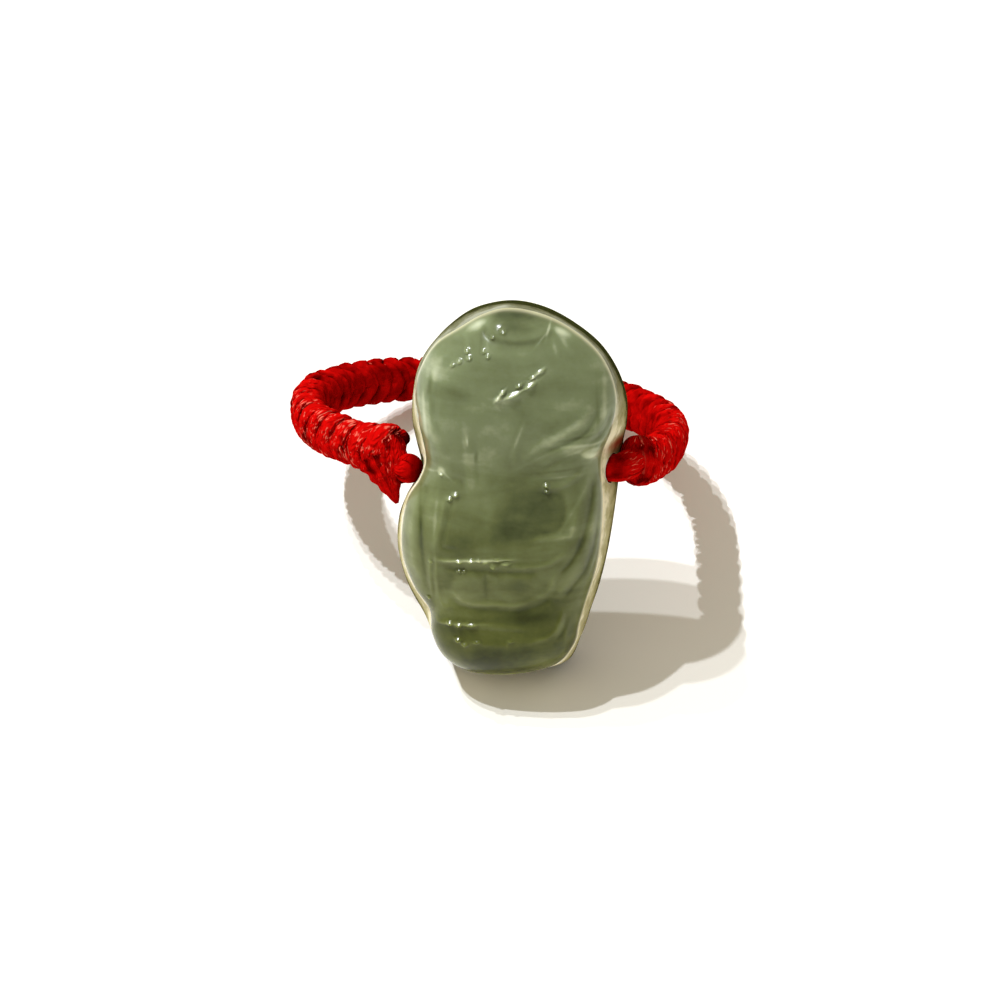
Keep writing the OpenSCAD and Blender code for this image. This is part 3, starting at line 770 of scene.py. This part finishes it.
def braided_nylon(name, light, dark, glint):
    """Thin braided nylon cord, dyed red and waxed.

    Its yarns run in columns along the cord and slant to and fro from column to column, like stitches. The
    dye is deep red. Painted shade darkens it between the yarns and in the folds between turns, and where the
    mesh marks painted light it is paler and short pale dashes are painted glints on the tops of single
    threads; a painted highlight follows the edge of some turns.
    """
    material, tree = new_material(name)
    place = add(tree, "TexCoord", out="Object")
    uv = add(tree, "UVMap", uv_map="UVMap")
    ahead = add(tree, "SeparateXYZ", [uv], out="X")
    across = add(tree, "SeparateXYZ", [uv], out="Y")
    # Marks: where the cord gets painted light, glints and deeper texture, and where a turn gets a painted
    # edge highlight
    painted_light_and_texture, painted_edge_glint = (add(tree, "Attribute", attribute_name=mark, out="Fac")
                   for mark in ("painted_light_and_texture", "painted_edge_glint"))
    # Random patterns: lumps of 0.5 mm, stray of the stitches 0.8 mm, clumps of painted glint dashes 0.9 mm,
    # dye 1.2 mm
    lump = add(tree, "TexNoise", {"Vector": place, "Scale": 2.0 * PER_MM, "Detail": 2.0})
    stray = add(tree, "TexNoise", {"Vector": place, "Scale": 1.3 * PER_MM, "Detail": 2.0})
    clump = add(tree, "TexNoise", {"Vector": place, "Scale": 1.1 * PER_MM, "Detail": 1.0})
    spread = add(tree, "TexNoise", {"Vector": place, "Scale": 0.8 * PER_MM, "Detail": 3.0})
    # Yarns: a wave along each column of stitches, rounded across the column, deeper where the mesh marks
    # painted light
    column = add(tree, "MULTIPLY", [across, 2 / COLUMN_MM])
    slant = add(tree, "PINGPONG", [column, 1.0])
    drift = add(tree, "MULTIPLY_ADD", [stray, 3.0, -1.5])
    along = add(tree, "MULTIPLY_ADD", [ahead, 1 / STITCH_MM, drift])
    slanted = add(tree, "MULTIPLY_ADD", [slant, 0.8, along])
    cycles = add(tree, "MULTIPLY", [slanted, 2 * math.pi])
    swing = add(tree, "SINE", [cycles])
    wave = add(tree, "MULTIPLY_ADD", [swing, 0.5, 0.5])
    half_turns = add(tree, "MULTIPLY", [column, math.pi])
    bow = add(tree, "SINE", [half_turns])
    crown = add(tree, "ABSOLUTE", [bow])
    crowned = add(tree, "MULTIPLY", [wave, crown])
    raised = add(tree, "MULTIPLY", [crowned, painted_light_and_texture])
    yarn = add(tree, "MAXIMUM", [raised, 0.0])
    height = add(tree, "MULTIPLY_ADD", [lump, 1.4, yarn])
    bump = add(tree, "Bump", {"Height": height, "Strength": 0.8, "Distance": 0.1 * MM})
    # Tone: uneven, paler on the yarns' tops as painted light, darker at the cord's edges as painted shade in
    # the folds, paler and more varied where the mesh marks painted light, and more even where it doesn't
    lumpy = add(tree, "MULTIPLY_ADD", [lump, 1.5, -1.4])
    uneven = add(tree, "MULTIPLY_ADD", [spread, 2.1, lumpy])
    tone = add(tree, "MULTIPLY_ADD", [yarn, 0.25, uneven])
    phi = add(tree, "MULTIPLY", [across, 2 / (CORD_HALF_WIDE + CORD_HALF_HIGH)])
    sideways = add(tree, "COSINE", [phi])
    outer = add(tree, "ABSOLUTE", [sideways])
    painted_fold_shade = add(tree, "POWER", [outer, 3.0])
    sunk = add(tree, "MULTIPLY_ADD", [painted_fold_shade, -0.3, tone])
    rough = add(tree, "MULTIPLY_ADD", [painted_light_and_texture, 0.6, 0.4])
    offset = add(tree, "ADD", [sunk, -0.27])
    varied = add(tree, "MULTIPLY_ADD", [offset, rough, 0.27])
    with_painted_light = add(tree, "MULTIPLY_ADD", [painted_light_and_texture, 0.2, varied])
    dyed = add(tree, "ValToRGB", [with_painted_light], stops=[(0.05, dark), (0.6, light)])
    # Painted glints: dashes of about 0.3 by 0.1 mm, more of them where the mesh marks painted light
    drawn = add(tree, "Mapping", {"Vector": uv, "Scale": (3.4, 10.0, 1)})
    speck = add(tree, "TexNoise", {"Vector": drawn, "Scale": 1.0, "Detail": 1.0, "Distortion": 0.8})
    clumped = add(tree, "MULTIPLY_ADD", [clump, 0.5, speck])
    stroke = add(tree, "MULTIPLY_ADD", [painted_light_and_texture, 0.2, clumped])
    dash = add(tree, "MapRange", [stroke, 1.07, 1.19])
    # Painted highlight along one edge of a turn, where the mesh marks it and the noise lets it show
    beside = add(tree, "ADD", [phi, -2.5])
    facing = add(tree, "COSINE", [beside])
    forward = add(tree, "MAXIMUM", [facing, 0.0])
    rim = add(tree, "POWER", [forward, 30.0])
    thin = add(tree, "ADD", [painted_edge_glint, spread])
    some = add(tree, "MapRange", [thin, 1.36, 1.6])
    line = add(tree, "MULTIPLY", [rim, some])
    paler = add(tree, "MULTIPLY", [line, 0.7])
    # Painted glints: the dashes and the highlight along a turn's edge
    pale = add(tree, "MAXIMUM", [paler, dash])
    shader = add(tree, "BsdfPrincipled", {
        "Base Color": add(tree, "Mix", {0: pale, 6: dyed, 7: linear(glint)}, out=2, data_type="RGBA"),
        "Normal": bump,
        "Roughness": 0.5,
        "Specular IOR Level": 0.0,
    })
    add(tree, "OutputMaterial", {"Surface": shader})
    return material


def matt_white_board():
    """White board under the ring: matt, so the lamps leave no glare on it."""
    material, tree = new_material("matt_white_board")
    shader = add(tree, "BsdfPrincipled", {"Base Color": linear("F4F2EE"), "Roughness": 0.9})
    add(tree, "OutputMaterial", {"Surface": shader})
    return material


def add_camera():
    """Pinhole camera at the photograph's angle, aimed at the charm from the front and above."""
    data = bpy.data.cameras.new("camera")
    data.lens = CAMERA_LENS
    data.shift_x, data.shift_y = CAMERA_SHIFT
    data.clip_start = 5 * MM
    camera = bpy.data.objects.new("camera", data)
    camera.location = (CHARM_AT + CAMERA_FAR * CAMERA_AXES[:, 2]) * MM
    camera.rotation_euler = (math.radians(90 - CAMERA_HIGH), 0, 0)
    bpy.context.scene.collection.objects.link(camera)
    bpy.context.scene.camera = camera


def add_lamp(name, way, watts):
    """Small square lamp that looks at the charm from LAMP_FAR along a direction."""
    data = bpy.data.lights.new(name, "AREA")
    data.size = LAMP_SIZE * MM
    data.energy = watts
    data.color = LAMP_COLOUR
    lamp = bpy.data.objects.new(name, data)
    towards = Vector(way).normalized()
    lamp.location = Vector((CHARM_AT * MM).tolist()) + LAMP_FAR * MM * towards
    lamp.rotation_euler = towards.to_track_quat("Z", "Y").to_euler()
    bpy.context.scene.collection.objects.link(lamp)


def add_stage():
    """Floor just under the ring, the lamps and the plain surroundings."""
    half = FLOOR_HALF * MM
    drop = -FLOOR_DROP * MM
    mesh = bpy.data.meshes.new("floor")
    mesh.from_pydata([(-half, -half, drop), (half, -half, drop), (half, half, drop), (-half, half, drop)],
                     [], [(0, 1, 2, 3)])
    mesh.materials.append(matt_white_board())
    floor = bpy.data.objects.new("floor", mesh)
    bpy.context.scene.collection.objects.link(floor)
    for name, way, watts in LAMPS:
        add_lamp(name, way, watts)
    world = bpy.data.worlds.new("surroundings")
    world.use_nodes = True
    tree = world.node_tree
    tree.nodes.clear()
    surroundings = add(tree, "Background", {"Color": linear("C6C0AF"), "Strength": 1.0})
    add(tree, "OutputWorld", {"Surface": surroundings})
    bpy.context.scene.world = world
    bpy.context.scene.view_settings.view_transform = "Standard"


def charm_face():
    """Grid over the carved face: its points, distance from the middle, place round the edge and carving.

    A place (a, b) in a square goes to the disc place (a sqrt(1 - b b / 2), b sqrt(1 - a a / 2)). Its
    distance s from the disc's middle shrinks the face's edge towards the charm's middle. The height is
    the edge's, plus the crest's share (1 - s^FACE_FULL)^FACE_FALL, plus the carving, which fades out at
    the edge.
    """
    a, b = np.meshgrid(np.linspace(-1, 1, FACE_ACROSS + 1), np.linspace(-1, 1, FACE_ALONG + 1))
    x = a * np.sqrt(1 - b * b / 2)
    y = b * np.sqrt(1 - a * a / 2)
    s = np.minimum(1, np.hypot(x, y))
    turn = (np.degrees(np.arctan2(x, y)) % 360) / 360 * len(GIRDLE)
    flat = CHARM_MID + s[..., None] * (closed_curve(FACE_EDGE, turn) - CHARM_MID)
    carving = relief(flat) * np.clip((1 - s) / CARVING_FADE, 0, 1)
    crest = (crest_height(flat[..., 1]) - EDGE_Z) * (1 - s**FACE_FULL) ** FACE_FALL
    z = faceted(EDGE_Z + crest + carving, flat)
    return np.concatenate([flat, z[..., None]], -1), s, turn, carving


def charm_rings(turn):
    """Rings down the wall and over the back at places round the edge, and how deep each ring lies.

    The wall runs from the face's edge to the widest line, with a bulge of WALL_BULGE s (1 - s) at the
    share s of the way. The depth is 0 at the face's edge, 1 at the widest line, 1.5 at the back's edge and 2
    at its middle.
    """
    edge = closed_curve(FACE_EDGE, turn)
    widest = closed_curve(GIRDLE, turn)
    outward = unit(widest - CHARM_MID)
    rings = []
    for share in np.linspace(0, 1, WALL_RINGS + 1)[1:]:
        ring = edge + share * (widest - edge) + WALL_BULGE * share * (1 - share) * outward
        rings.append((ring, EDGE_Z + share * (GIRDLE_Z - EDGE_Z), share))
    for shrink, height in open_curve(BACK_EDGE, 3)[1:]:
        depth = 1 + 0.5 * (height - GIRDLE_Z) / (BACK_Z - GIRDLE_Z)
        rings.append((CHARM_MID + shrink * (widest - CHARM_MID), height, depth))
    for shrink in BACK_RINGS:
        rings.append((CHARM_MID + shrink * (widest - CHARM_MID), BACK_Z, 2 - 0.5 * shrink))
    points = [np.column_stack([ring, np.full(len(turn), height)]) for ring, height, depth in rings]
    return points, [depth for ring, height, depth in rings]


def cut_hole(piece):
    """Cuts the round hole across the charm, and keeps its edges crisp."""
    steps = 48
    turn = np.linspace(0, 2 * math.pi, steps, endpoint=False)
    ring = np.column_stack([HOLE_D / 2 * np.cos(turn), HOLE_D / 2 * np.sin(turn), 0 * turn])
    reach = np.array([0, 0, HOLE_REACH])
    points = along_hole(np.vstack([ring - reach, ring + reach])) * MM
    k = list(range(steps))
    sides = [(i, (i + 1) % steps, steps + (i + 1) % steps, steps + i) for i in k]
    mesh = bpy.data.meshes.new("hole")
    mesh.from_pydata(points.tolist(), [], sides + [tuple(k[::-1]), tuple(steps + i for i in k)])
    cutter = bpy.data.objects.new("hole", mesh)
    bpy.context.scene.collection.objects.link(cutter)
    cut = piece.modifiers.new("hole", "BOOLEAN")
    cut.operation = "DIFFERENCE"
    cut.solver = "EXACT"
    cut.object = cutter
    whole = piece.data
    finished = piece.evaluated_get(bpy.context.evaluated_depsgraph_get())
    piece.data = bpy.data.meshes.new_from_object(finished)
    piece.modifiers.clear()
    bpy.data.objects.remove(cutter)
    bpy.data.meshes.remove(whole)
    piece.data.name = piece.name
    piece.data.set_sharp_from_angle(angle=math.radians(SHARP_ANGLE))


def jade_charm(face_material, wall_material, back_material):
    """Carved charm: the grid over its face, the rings down its wall and over its back to one point."""
    face, s, turn, carving = charm_face()
    rows, columns = s.shape
    number = np.arange(s.size).reshape(rows, columns)
    rim = np.concatenate([number[-1, :-1], number[:0:-1, -1], number[0, :0:-1], number[:-1, 0]])
    rings, depths = charm_rings(turn.ravel()[rim])
    points = np.vstack([face.reshape(-1, 3), *rings, [[*CHARM_MID, BACK_Z]]])
    flat = points[:, :2]
    n = len(rim)
    first = s.size
    last = first + (len(rings) - 1) * n
    k = np.arange(n)
    after = (k + 1) % n
    grid = grid_quads(rows, columns)
    seam = np.column_stack([rim[k], rim[after], first + after, first + k])
    walls = grid_quads(len(rings), n, first, closed=True)
    cap = np.column_stack([last + k, last + after, np.full(n, len(points) - 1)])
    off_face = np.zeros(len(points) - first)
    clouds_and_painted_light = sum(strength * patch(flat, *spot) for *spot, strength in CLOUDS_AND_PAINTED_LIGHT)
    wall_clouds_and_painted_light = sum(strength * patch(flat, *spot) for *spot, strength in WALL_CLOUDS_AND_PAINTED_LIGHT)
    edge_highlight = np.exp(-(((1 - s.ravel()) / EDGE_HIGHLIGHT_WIDTH) ** 2))
    # Marks for the shader: the carving's height, which paints shade in grooves and light on ridges; clouds
    # with painted light and shade; a painted highlight along the face's edge; painted red from the cord
    # beside the hole
    marks = {
        "carving": np.concatenate([carving.ravel() / RELIEF_FULL, off_face]),
        "depth": np.concatenate([np.zeros(first), np.repeat(depths, n), [2.0]]),
        "clouds_and_painted_light": np.where(np.arange(len(points)) < first, clouds_and_painted_light, wall_clouds_and_painted_light),
        "glow": CORD_GLOW_SHARE * patch(flat, *CORD_GLOW),
        "edge": np.concatenate([EDGE_HIGHLIGHT_SHARE * edge_highlight, off_face]),
    }
    piece = make_piece("jade_charm_carved", in_charm(points), [grid, seam, walls, cap], face_material,
                       "jade_charm", flat, marks)
    piece.data.materials.append(wall_material)
    piece.data.materials.append(back_material)
    kind = np.where(np.array(depths[1:]) > BACK_FROM, 2, 1)
    kinds = np.concatenate([np.zeros(len(grid)), np.ones(len(seam)), np.repeat(kind, n), np.full(n, 2)])
    piece.data.polygons.foreach_set("material_index", kinds.astype(np.int32))
    cut_hole(piece)


def band_point(a):
    """Middle of the band at an angle round the loop, from its front; its last part is drawn out."""
    past = np.maximum(0, a - BAND_TURN) ** 2
    r = LOOP_R + BAND_FLARE * past
    t = np.radians(a)
    return np.stack([-r * np.sin(t), -r * LOOP_STRETCH * np.cos(t), BAND_RISE * past], -1)


def band_frame(a):
    """Directions across the band at an angle round the loop: into the loop, and up."""
    ahead = unit(band_point(a + 0.5) - band_point(a - 0.5))
    inward = unit(np.cross(ahead, [0, 0, 1]))
    return inward, np.cross(inward, ahead)


def band_turn(k, wander):
    """One turn of flattened cord round the band: its points and places in mm, and its painted light and
    glints.

    Its middle goes round a rounded oblong. It lags by LEAN degrees of the loop at the band's upper and
    lower edges, so the turns meet in chevrons. Every other turn is broad and stands out on one side, and
    is narrow and sunk on the other, and the next the other way round. The first turns, at the band's left
    end, are wider and stand further out. Slanting stitches make the cord thicker and thinner, and the
    random numbers in wander vary the turn's size, lag and width.
    """
    w = np.linspace(0, 2 * math.pi, TURN_STEPS, endpoint=False)
    phi = np.linspace(0, 2 * math.pi, CORD_STEPS, endpoint=False)
    narrow = np.cos(w + SIDE_SHIFT) * (1 if k % 2 else -1)
    swell = TURN_SIZE - TURN_PROUD * narrow + 0.03 * wander[0] * np.cos(w + wander[1])
    swell = swell * (0.97 if k in (0, TURNS - 1) else 1)
    middle = BAND_START + (k + 0.5) * (BAND_STOP - BAND_START) / TURNS
    a = middle - LEAN * (np.abs(np.sin(w)) ** 1.5 - 0.4) + 0.5 * wander[2] * np.cos(2 * w + wander[3])
    a = np.clip(a, BAND_START + TURN_MARGIN, BAND_STOP - TURN_MARGIN)
    inward, up = band_frame(a)
    wider = FIRST_TURNS_WIDER * math.exp(-((k / FIRST_TURNS) ** 2))
    half_t = (BAND_T / 2 - CORD_HALF_HIGH) * swell * (1 + wider * np.clip(-np.cos(w), 0, 1))
    half_w = (BAND_W / 2 - CORD_HALF_HIGH) * swell * (1 + wider)
    q = 1 + 0.1 * np.sin(2 * w) ** 2
    path = band_point(a) + (q * half_t * np.cos(w))[:, None] * inward
    path = path + (q * half_w * np.sin(w))[:, None] * up
    outward = unit((half_w * np.cos(w))[:, None] * inward + (half_t * np.sin(w))[:, None] * up)
    ahead = unit(np.roll(path, -1, 0) - np.roll(path, 1, 0))
    side = unit(np.cross(ahead, outward))
    outward = np.cross(side, ahead)
    wide = CORD_HALF_WIDE * (1 - TURN_BROAD * narrow + 0.14 * np.sin(3 * w + wander[4]))
    length = np.concatenate([[0], np.cumsum(np.linalg.norm(np.diff(path, axis=0), axis=1))])
    u = np.repeat(length[:, None], CORD_STEPS, 1) + 0.37 * k
    v = np.repeat(phi[None, :] * 0.5 * (CORD_HALF_WIDE + CORD_HALF_HIGH), TURN_STEPS, 0)
    slant = np.abs((v / COLUMN_MM + 0.5) % 1 - 0.5) * 2
    swollen = 1 + STITCH_RISE * (np.sin(2 * math.pi * (u / STITCH_MM + 0.8 * slant)) - 0.3)
    across = (wide[:, None] * np.cos(phi)[None] * swollen)[..., None] * side[:, None]
    rise = (CORD_HALF_HIGH * np.sin(phi)[None] * swollen)[..., None] * outward[:, None]
    # The outer side of the near arms gets painted light, painted glints and deeper texture, and on the right
    # arm one edge of each turn a painted highlight
    outer = np.clip(0.75 - 1.3 * np.cos(w) + 0.4 * np.sin(w), 0, 1)
    near_left = np.clip((PAINTED_LIGHT_LEFT - a) / PAINTED_LIGHT_FADE, 0, 1)
    near_right = np.clip((a - PAINTED_LIGHT_RIGHT) / PAINTED_LIGHT_FADE, 0, 1)
    painted_light_and_texture = np.repeat(outer * (near_left + 0.8 * near_right), CORD_STEPS)
    painted_edge_glint = np.repeat(outer * near_right, CORD_STEPS)
    return (path[:, None] + across + rise).reshape(-1, 3), np.stack([u, v], -1).reshape(-1, 2), painted_light_and_texture, painted_edge_glint


def band_core():
    """Plain core under the turns, an oblong tube that narrows at its ends: its points and places in mm."""
    a = np.linspace(BAND_START + CORE_MARGIN, BAND_STOP - CORE_MARGIN, CORE_ROWS)
    inward, up = band_frame(a)
    end = np.clip(np.minimum(a - a[0], a[-1] - a) / CORE_TAPER, 0, 1)
    thick = (CORE_END + (1 - CORE_END) * np.sqrt(1 - (1 - end) ** 2))[:, None, None]
    turn = np.linspace(0, 2 * math.pi, CORE_STEPS, endpoint=False)
    across = (BAND_T / 2 - CORD_HALF_HIGH) * np.cos(turn)[None, :, None] * inward[:, None]
    rise = (BAND_W / 2 - CORD_HALF_HIGH) * np.sin(turn)[None, :, None] * up[:, None]
    middle = band_point(a)
    points = (middle[:, None] + thick * (across + rise)).reshape(-1, 3)
    # A degree along the band is about 0.16 mm, and a radian round it about 0.9 mm
    uv = np.stack(np.broadcast_arrays(a[:, None] * 0.16, turn[None, :] * 0.9), -1).reshape(-1, 2)
    return np.vstack([points, middle[[0, -1]]]), np.vstack([uv, np.zeros((2, 2))])


def knotted_band(material):
    """Row of knots, each of two turns of flattened cord round the band, over a plain core."""
    rng = np.random.default_rng(4)
    turns = [band_turn(k, rng.normal(0, 1, 8)) for k in range(TURNS)]
    points, uv, painted_light_and_texture, painted_edge_glint = (np.concatenate(parts) for parts in zip(*turns))
    core_points, core_uv = band_core()
    quads = []
    for first in range(0, len(points), TURN_STEPS * CORD_STEPS):
        quads.append(grid_quads(TURN_STEPS, CORD_STEPS, first, closed=True)[:, ::-1])
        quads.append(ring_join(TURN_STEPS, CORD_STEPS, first))
    quads += closed_ends(CORE_ROWS, CORE_STEPS, len(points))
    plain = np.zeros(len(core_points))
    marks = {"painted_light_and_texture": np.concatenate([painted_light_and_texture, plain]), "painted_edge_glint": np.concatenate([painted_edge_glint, plain])}
    make_piece("knotted_band_cord", in_loop(np.vstack([points, core_points])), quads, material,
               "knotted_band", np.vstack([uv, core_uv]), marks)


def tube_piece(name, path, radii, steps, up, material, replaced, painted_light_and_texture=0.0, painted_edge_glint=0.0, flat=1.0):
    """Closed tube along a path in mm, with its length and turn as its UV map; flat shrinks it sideways."""
    rows = len(path)
    ahead = unit(np.gradient(path, axis=0))
    side = unit(np.cross(ahead, up))
    top = np.cross(side, ahead)
    phi = np.linspace(0, 2 * math.pi, steps, endpoint=False)
    section = flat * np.cos(phi)[None, :, None] * side[:, None] + np.sin(phi)[None, :, None] * top[:, None]
    rings = path[:, None] + radii[:, None, None] * section
    points = np.vstack([rings.reshape(-1, 3), path[:1], path[-1:]])
    run = np.concatenate([[0], np.cumsum(np.linalg.norm(np.diff(path, axis=0), axis=1))])
    u = np.repeat(run[:, None], steps, 1)
    v = np.repeat((phi * radii.max())[None, :], rows, 0)
    uv = np.vstack([np.stack([u, v], -1).reshape(-1, 2), [[0, 0], [run[-1], 0]]])
    marks = {
        "painted_light_and_texture": np.append(np.repeat(painted_light_and_texture * np.ones(rows), steps), [0, 0]),
        "painted_edge_glint": np.full(len(points), painted_edge_glint),
    }
    make_piece(name, points, closed_ends(rows, steps, 0), material, replaced, uv, marks)


def hole_line(z):
    """Points on the middle line of the hole across the charm."""
    return along_hole(np.column_stack([0 * z, 0 * z, z]))


def core_cord(material):
    """Smooth cord through the charm: a straight round tube, rounded off at both ends."""
    z = np.linspace(CORE_LEFT, CORE_RIGHT, 60)
    end = np.clip(np.minimum(z - CORE_LEFT, CORE_RIGHT - z) / CORE_ROUND, 0, 1)
    radii = CORE_D / 2 * np.sqrt(np.clip(1 - (1 - end) ** 2, 0.09, 1))
    tube_piece("core_cord_round", hole_line(z), radii, 32, Z_AXIS, material, "core_cord")


def left_knot(material):
    """Round knob beside the stone, a ball that is rougher and paler away from the stone and darker beside it
    as painted shade.
    """
    z = np.linspace(LEFT_KNOT_X - KNOB_R, LEFT_KNOT_X + KNOB_R, 90)
    radii = np.maximum(np.sqrt(np.maximum(KNOB_R**2 - (z - LEFT_KNOT_X) ** 2, 0)), TIP_R)
    painted_light_and_texture = np.clip((LEFT_KNOT_X + 0.05 - z) / 0.35, -0.6, 0.8)
    tube_piece("end_knot_left_round", hole_line(z), radii, 44, Z_AXIS, material, "end_knot_left",
               painted_light_and_texture=painted_light_and_texture)


def right_knot(material):
    """Knot between the stone and the band: a stub that widens, rounds off and bends back into the band."""
    start = RIGHT_KNOT_X - RIGHT_KNOT_L / 2 - RIGHT_KNOT_BEFORE
    stop = RIGHT_KNOT_X + RIGHT_KNOT_L / 2 + RIGHT_KNOT_PAST
    z = np.linspace(start, stop, 110)
    wide = RIGHT_KNOT_R + RIGHT_KNOT_WIDENS * (z - start) / (stop - start)
    from_end = np.clip((stop - z) / RIGHT_KNOT_ROUND, 0, 1)
    radii = np.maximum(wide * np.sqrt(1 - (1 - from_end) ** 2), TIP_R)
    past_stone = z - RIGHT_KNOT_X + RIGHT_KNOT_BEND
    back = RIGHT_KNOT_BACK * np.maximum(0, past_stone) ** 1.5
    path = hole_line(z) + back[:, None] * (Y_AXIS - RIGHT_KNOT_FALL * Z_AXIS)
    # Darker next to the stone as painted shade, paler and rougher further out
    tube_piece("end_knot_right_round", path, radii, 48, Z_AXIS, material, "end_knot_right",
               painted_light_and_texture=np.clip(past_stone / 0.5, 0.2, 0.7))


def band_lump(name, middle, half_high, half_wide, painted_light_and_texture, painted_edge_glint, material):
    """Thick last turn of the band: an oblong ball that stands along the camera's upward direction.

    Its radius is half_wide (1 - t^2)^0.42 at the share t of its half length, with two shallow waists.
    """
    t = np.linspace(-1, 1, 90)
    path = CHARM_AT + np.array(middle) + half_high * t[:, None] * CAMERA_AXES[:, 1]
    waist = 1 - 0.07 * np.exp(-(((t - 0.25) / 0.12) ** 2)) - 0.06 * np.exp(-(((t + 0.35) / 0.12) ** 2))
    radii = np.maximum(half_wide * (1 - t**2) ** 0.42 * waist, TIP_R)
    tube_piece(name, path, radii, 56, X_AXIS, material, None, painted_light_and_texture=painted_light_and_texture, painted_edge_glint=painted_edge_glint,
               flat=0.8)


def cut_tail(material):
    """Trimmed end of the knotting cord: a flattened cone from the band's end to its melted tip."""
    axes = spin("x", 180 - TAIL_TILT) @ spin("y", TAIL_TURN)
    z = np.linspace(-TAIL_HIDDEN, TAIL_L, 40)
    from_tip = TAIL_L - z
    path = CHARM_AT + TAIL_ROOT + TAIL_ASIDE * X_AXIS + np.column_stack([0 * z, 0 * z, z]) @ axes.T
    path = path - (TAIL_SLANT * from_tip)[:, None] * X_AXIS
    fade = np.clip(from_tip / 0.5, 0, 1)
    lumpy = 1 + TAIL_LUMP * np.sin(2 * math.pi * from_tip / TAIL_LUMP_STEP) * fade
    radii = (TAIL_TIP_R + TAIL_WIDENS * from_tip**0.9) * lumpy
    # Darker at its tip, paler and rougher with painted glints towards the band
    tube_piece("cut_tail_melted", path, radii, 28, X_AXIS, material, "cut_tail",
               painted_light_and_texture=np.clip(from_tip / 1.6, 0, 0.7), flat=0.6)


def loose_fibres(material):
    """Thin fibres that stand out of the band's left end beside the stone, each a shallow arch."""
    t = np.linspace(0, 1, 12)
    arch = (FIBRE_ARCH * t * (1 - t))[:, None] * (X_AXIS + Z_AXIS)
    for i, tip in enumerate(FIBRE_TIPS):
        path = CHARM_AT + FIBRE_ROOT + i * FIBRE_STEP + t[:, None] * np.array(tip) + arch
        tube_piece("loose_fibre_%d" % (i + 1), path, FIBRE_R * (1 - 0.6 * t), 6, Y_AXIS, material, None)


add_camera()
add_stage()
knot_cord = braided_nylon("braided_nylon_cord", "C00806", "5A0000", "E96C5A")
smooth_cord = braided_nylon("waxed_nylon_cord", "A00200", "540000", "C03020")
jade_charm(polished_jade(), satin_jade(), ground_jade())
knotted_band(knot_cord)
core_cord(smooth_cord)
left_knot(knot_cord)
right_knot(knot_cord)
cut_tail(knot_cord)
for lump in BAND_LUMPS:
    band_lump(*lump, knot_cord)
loose_fibres(smooth_cord)
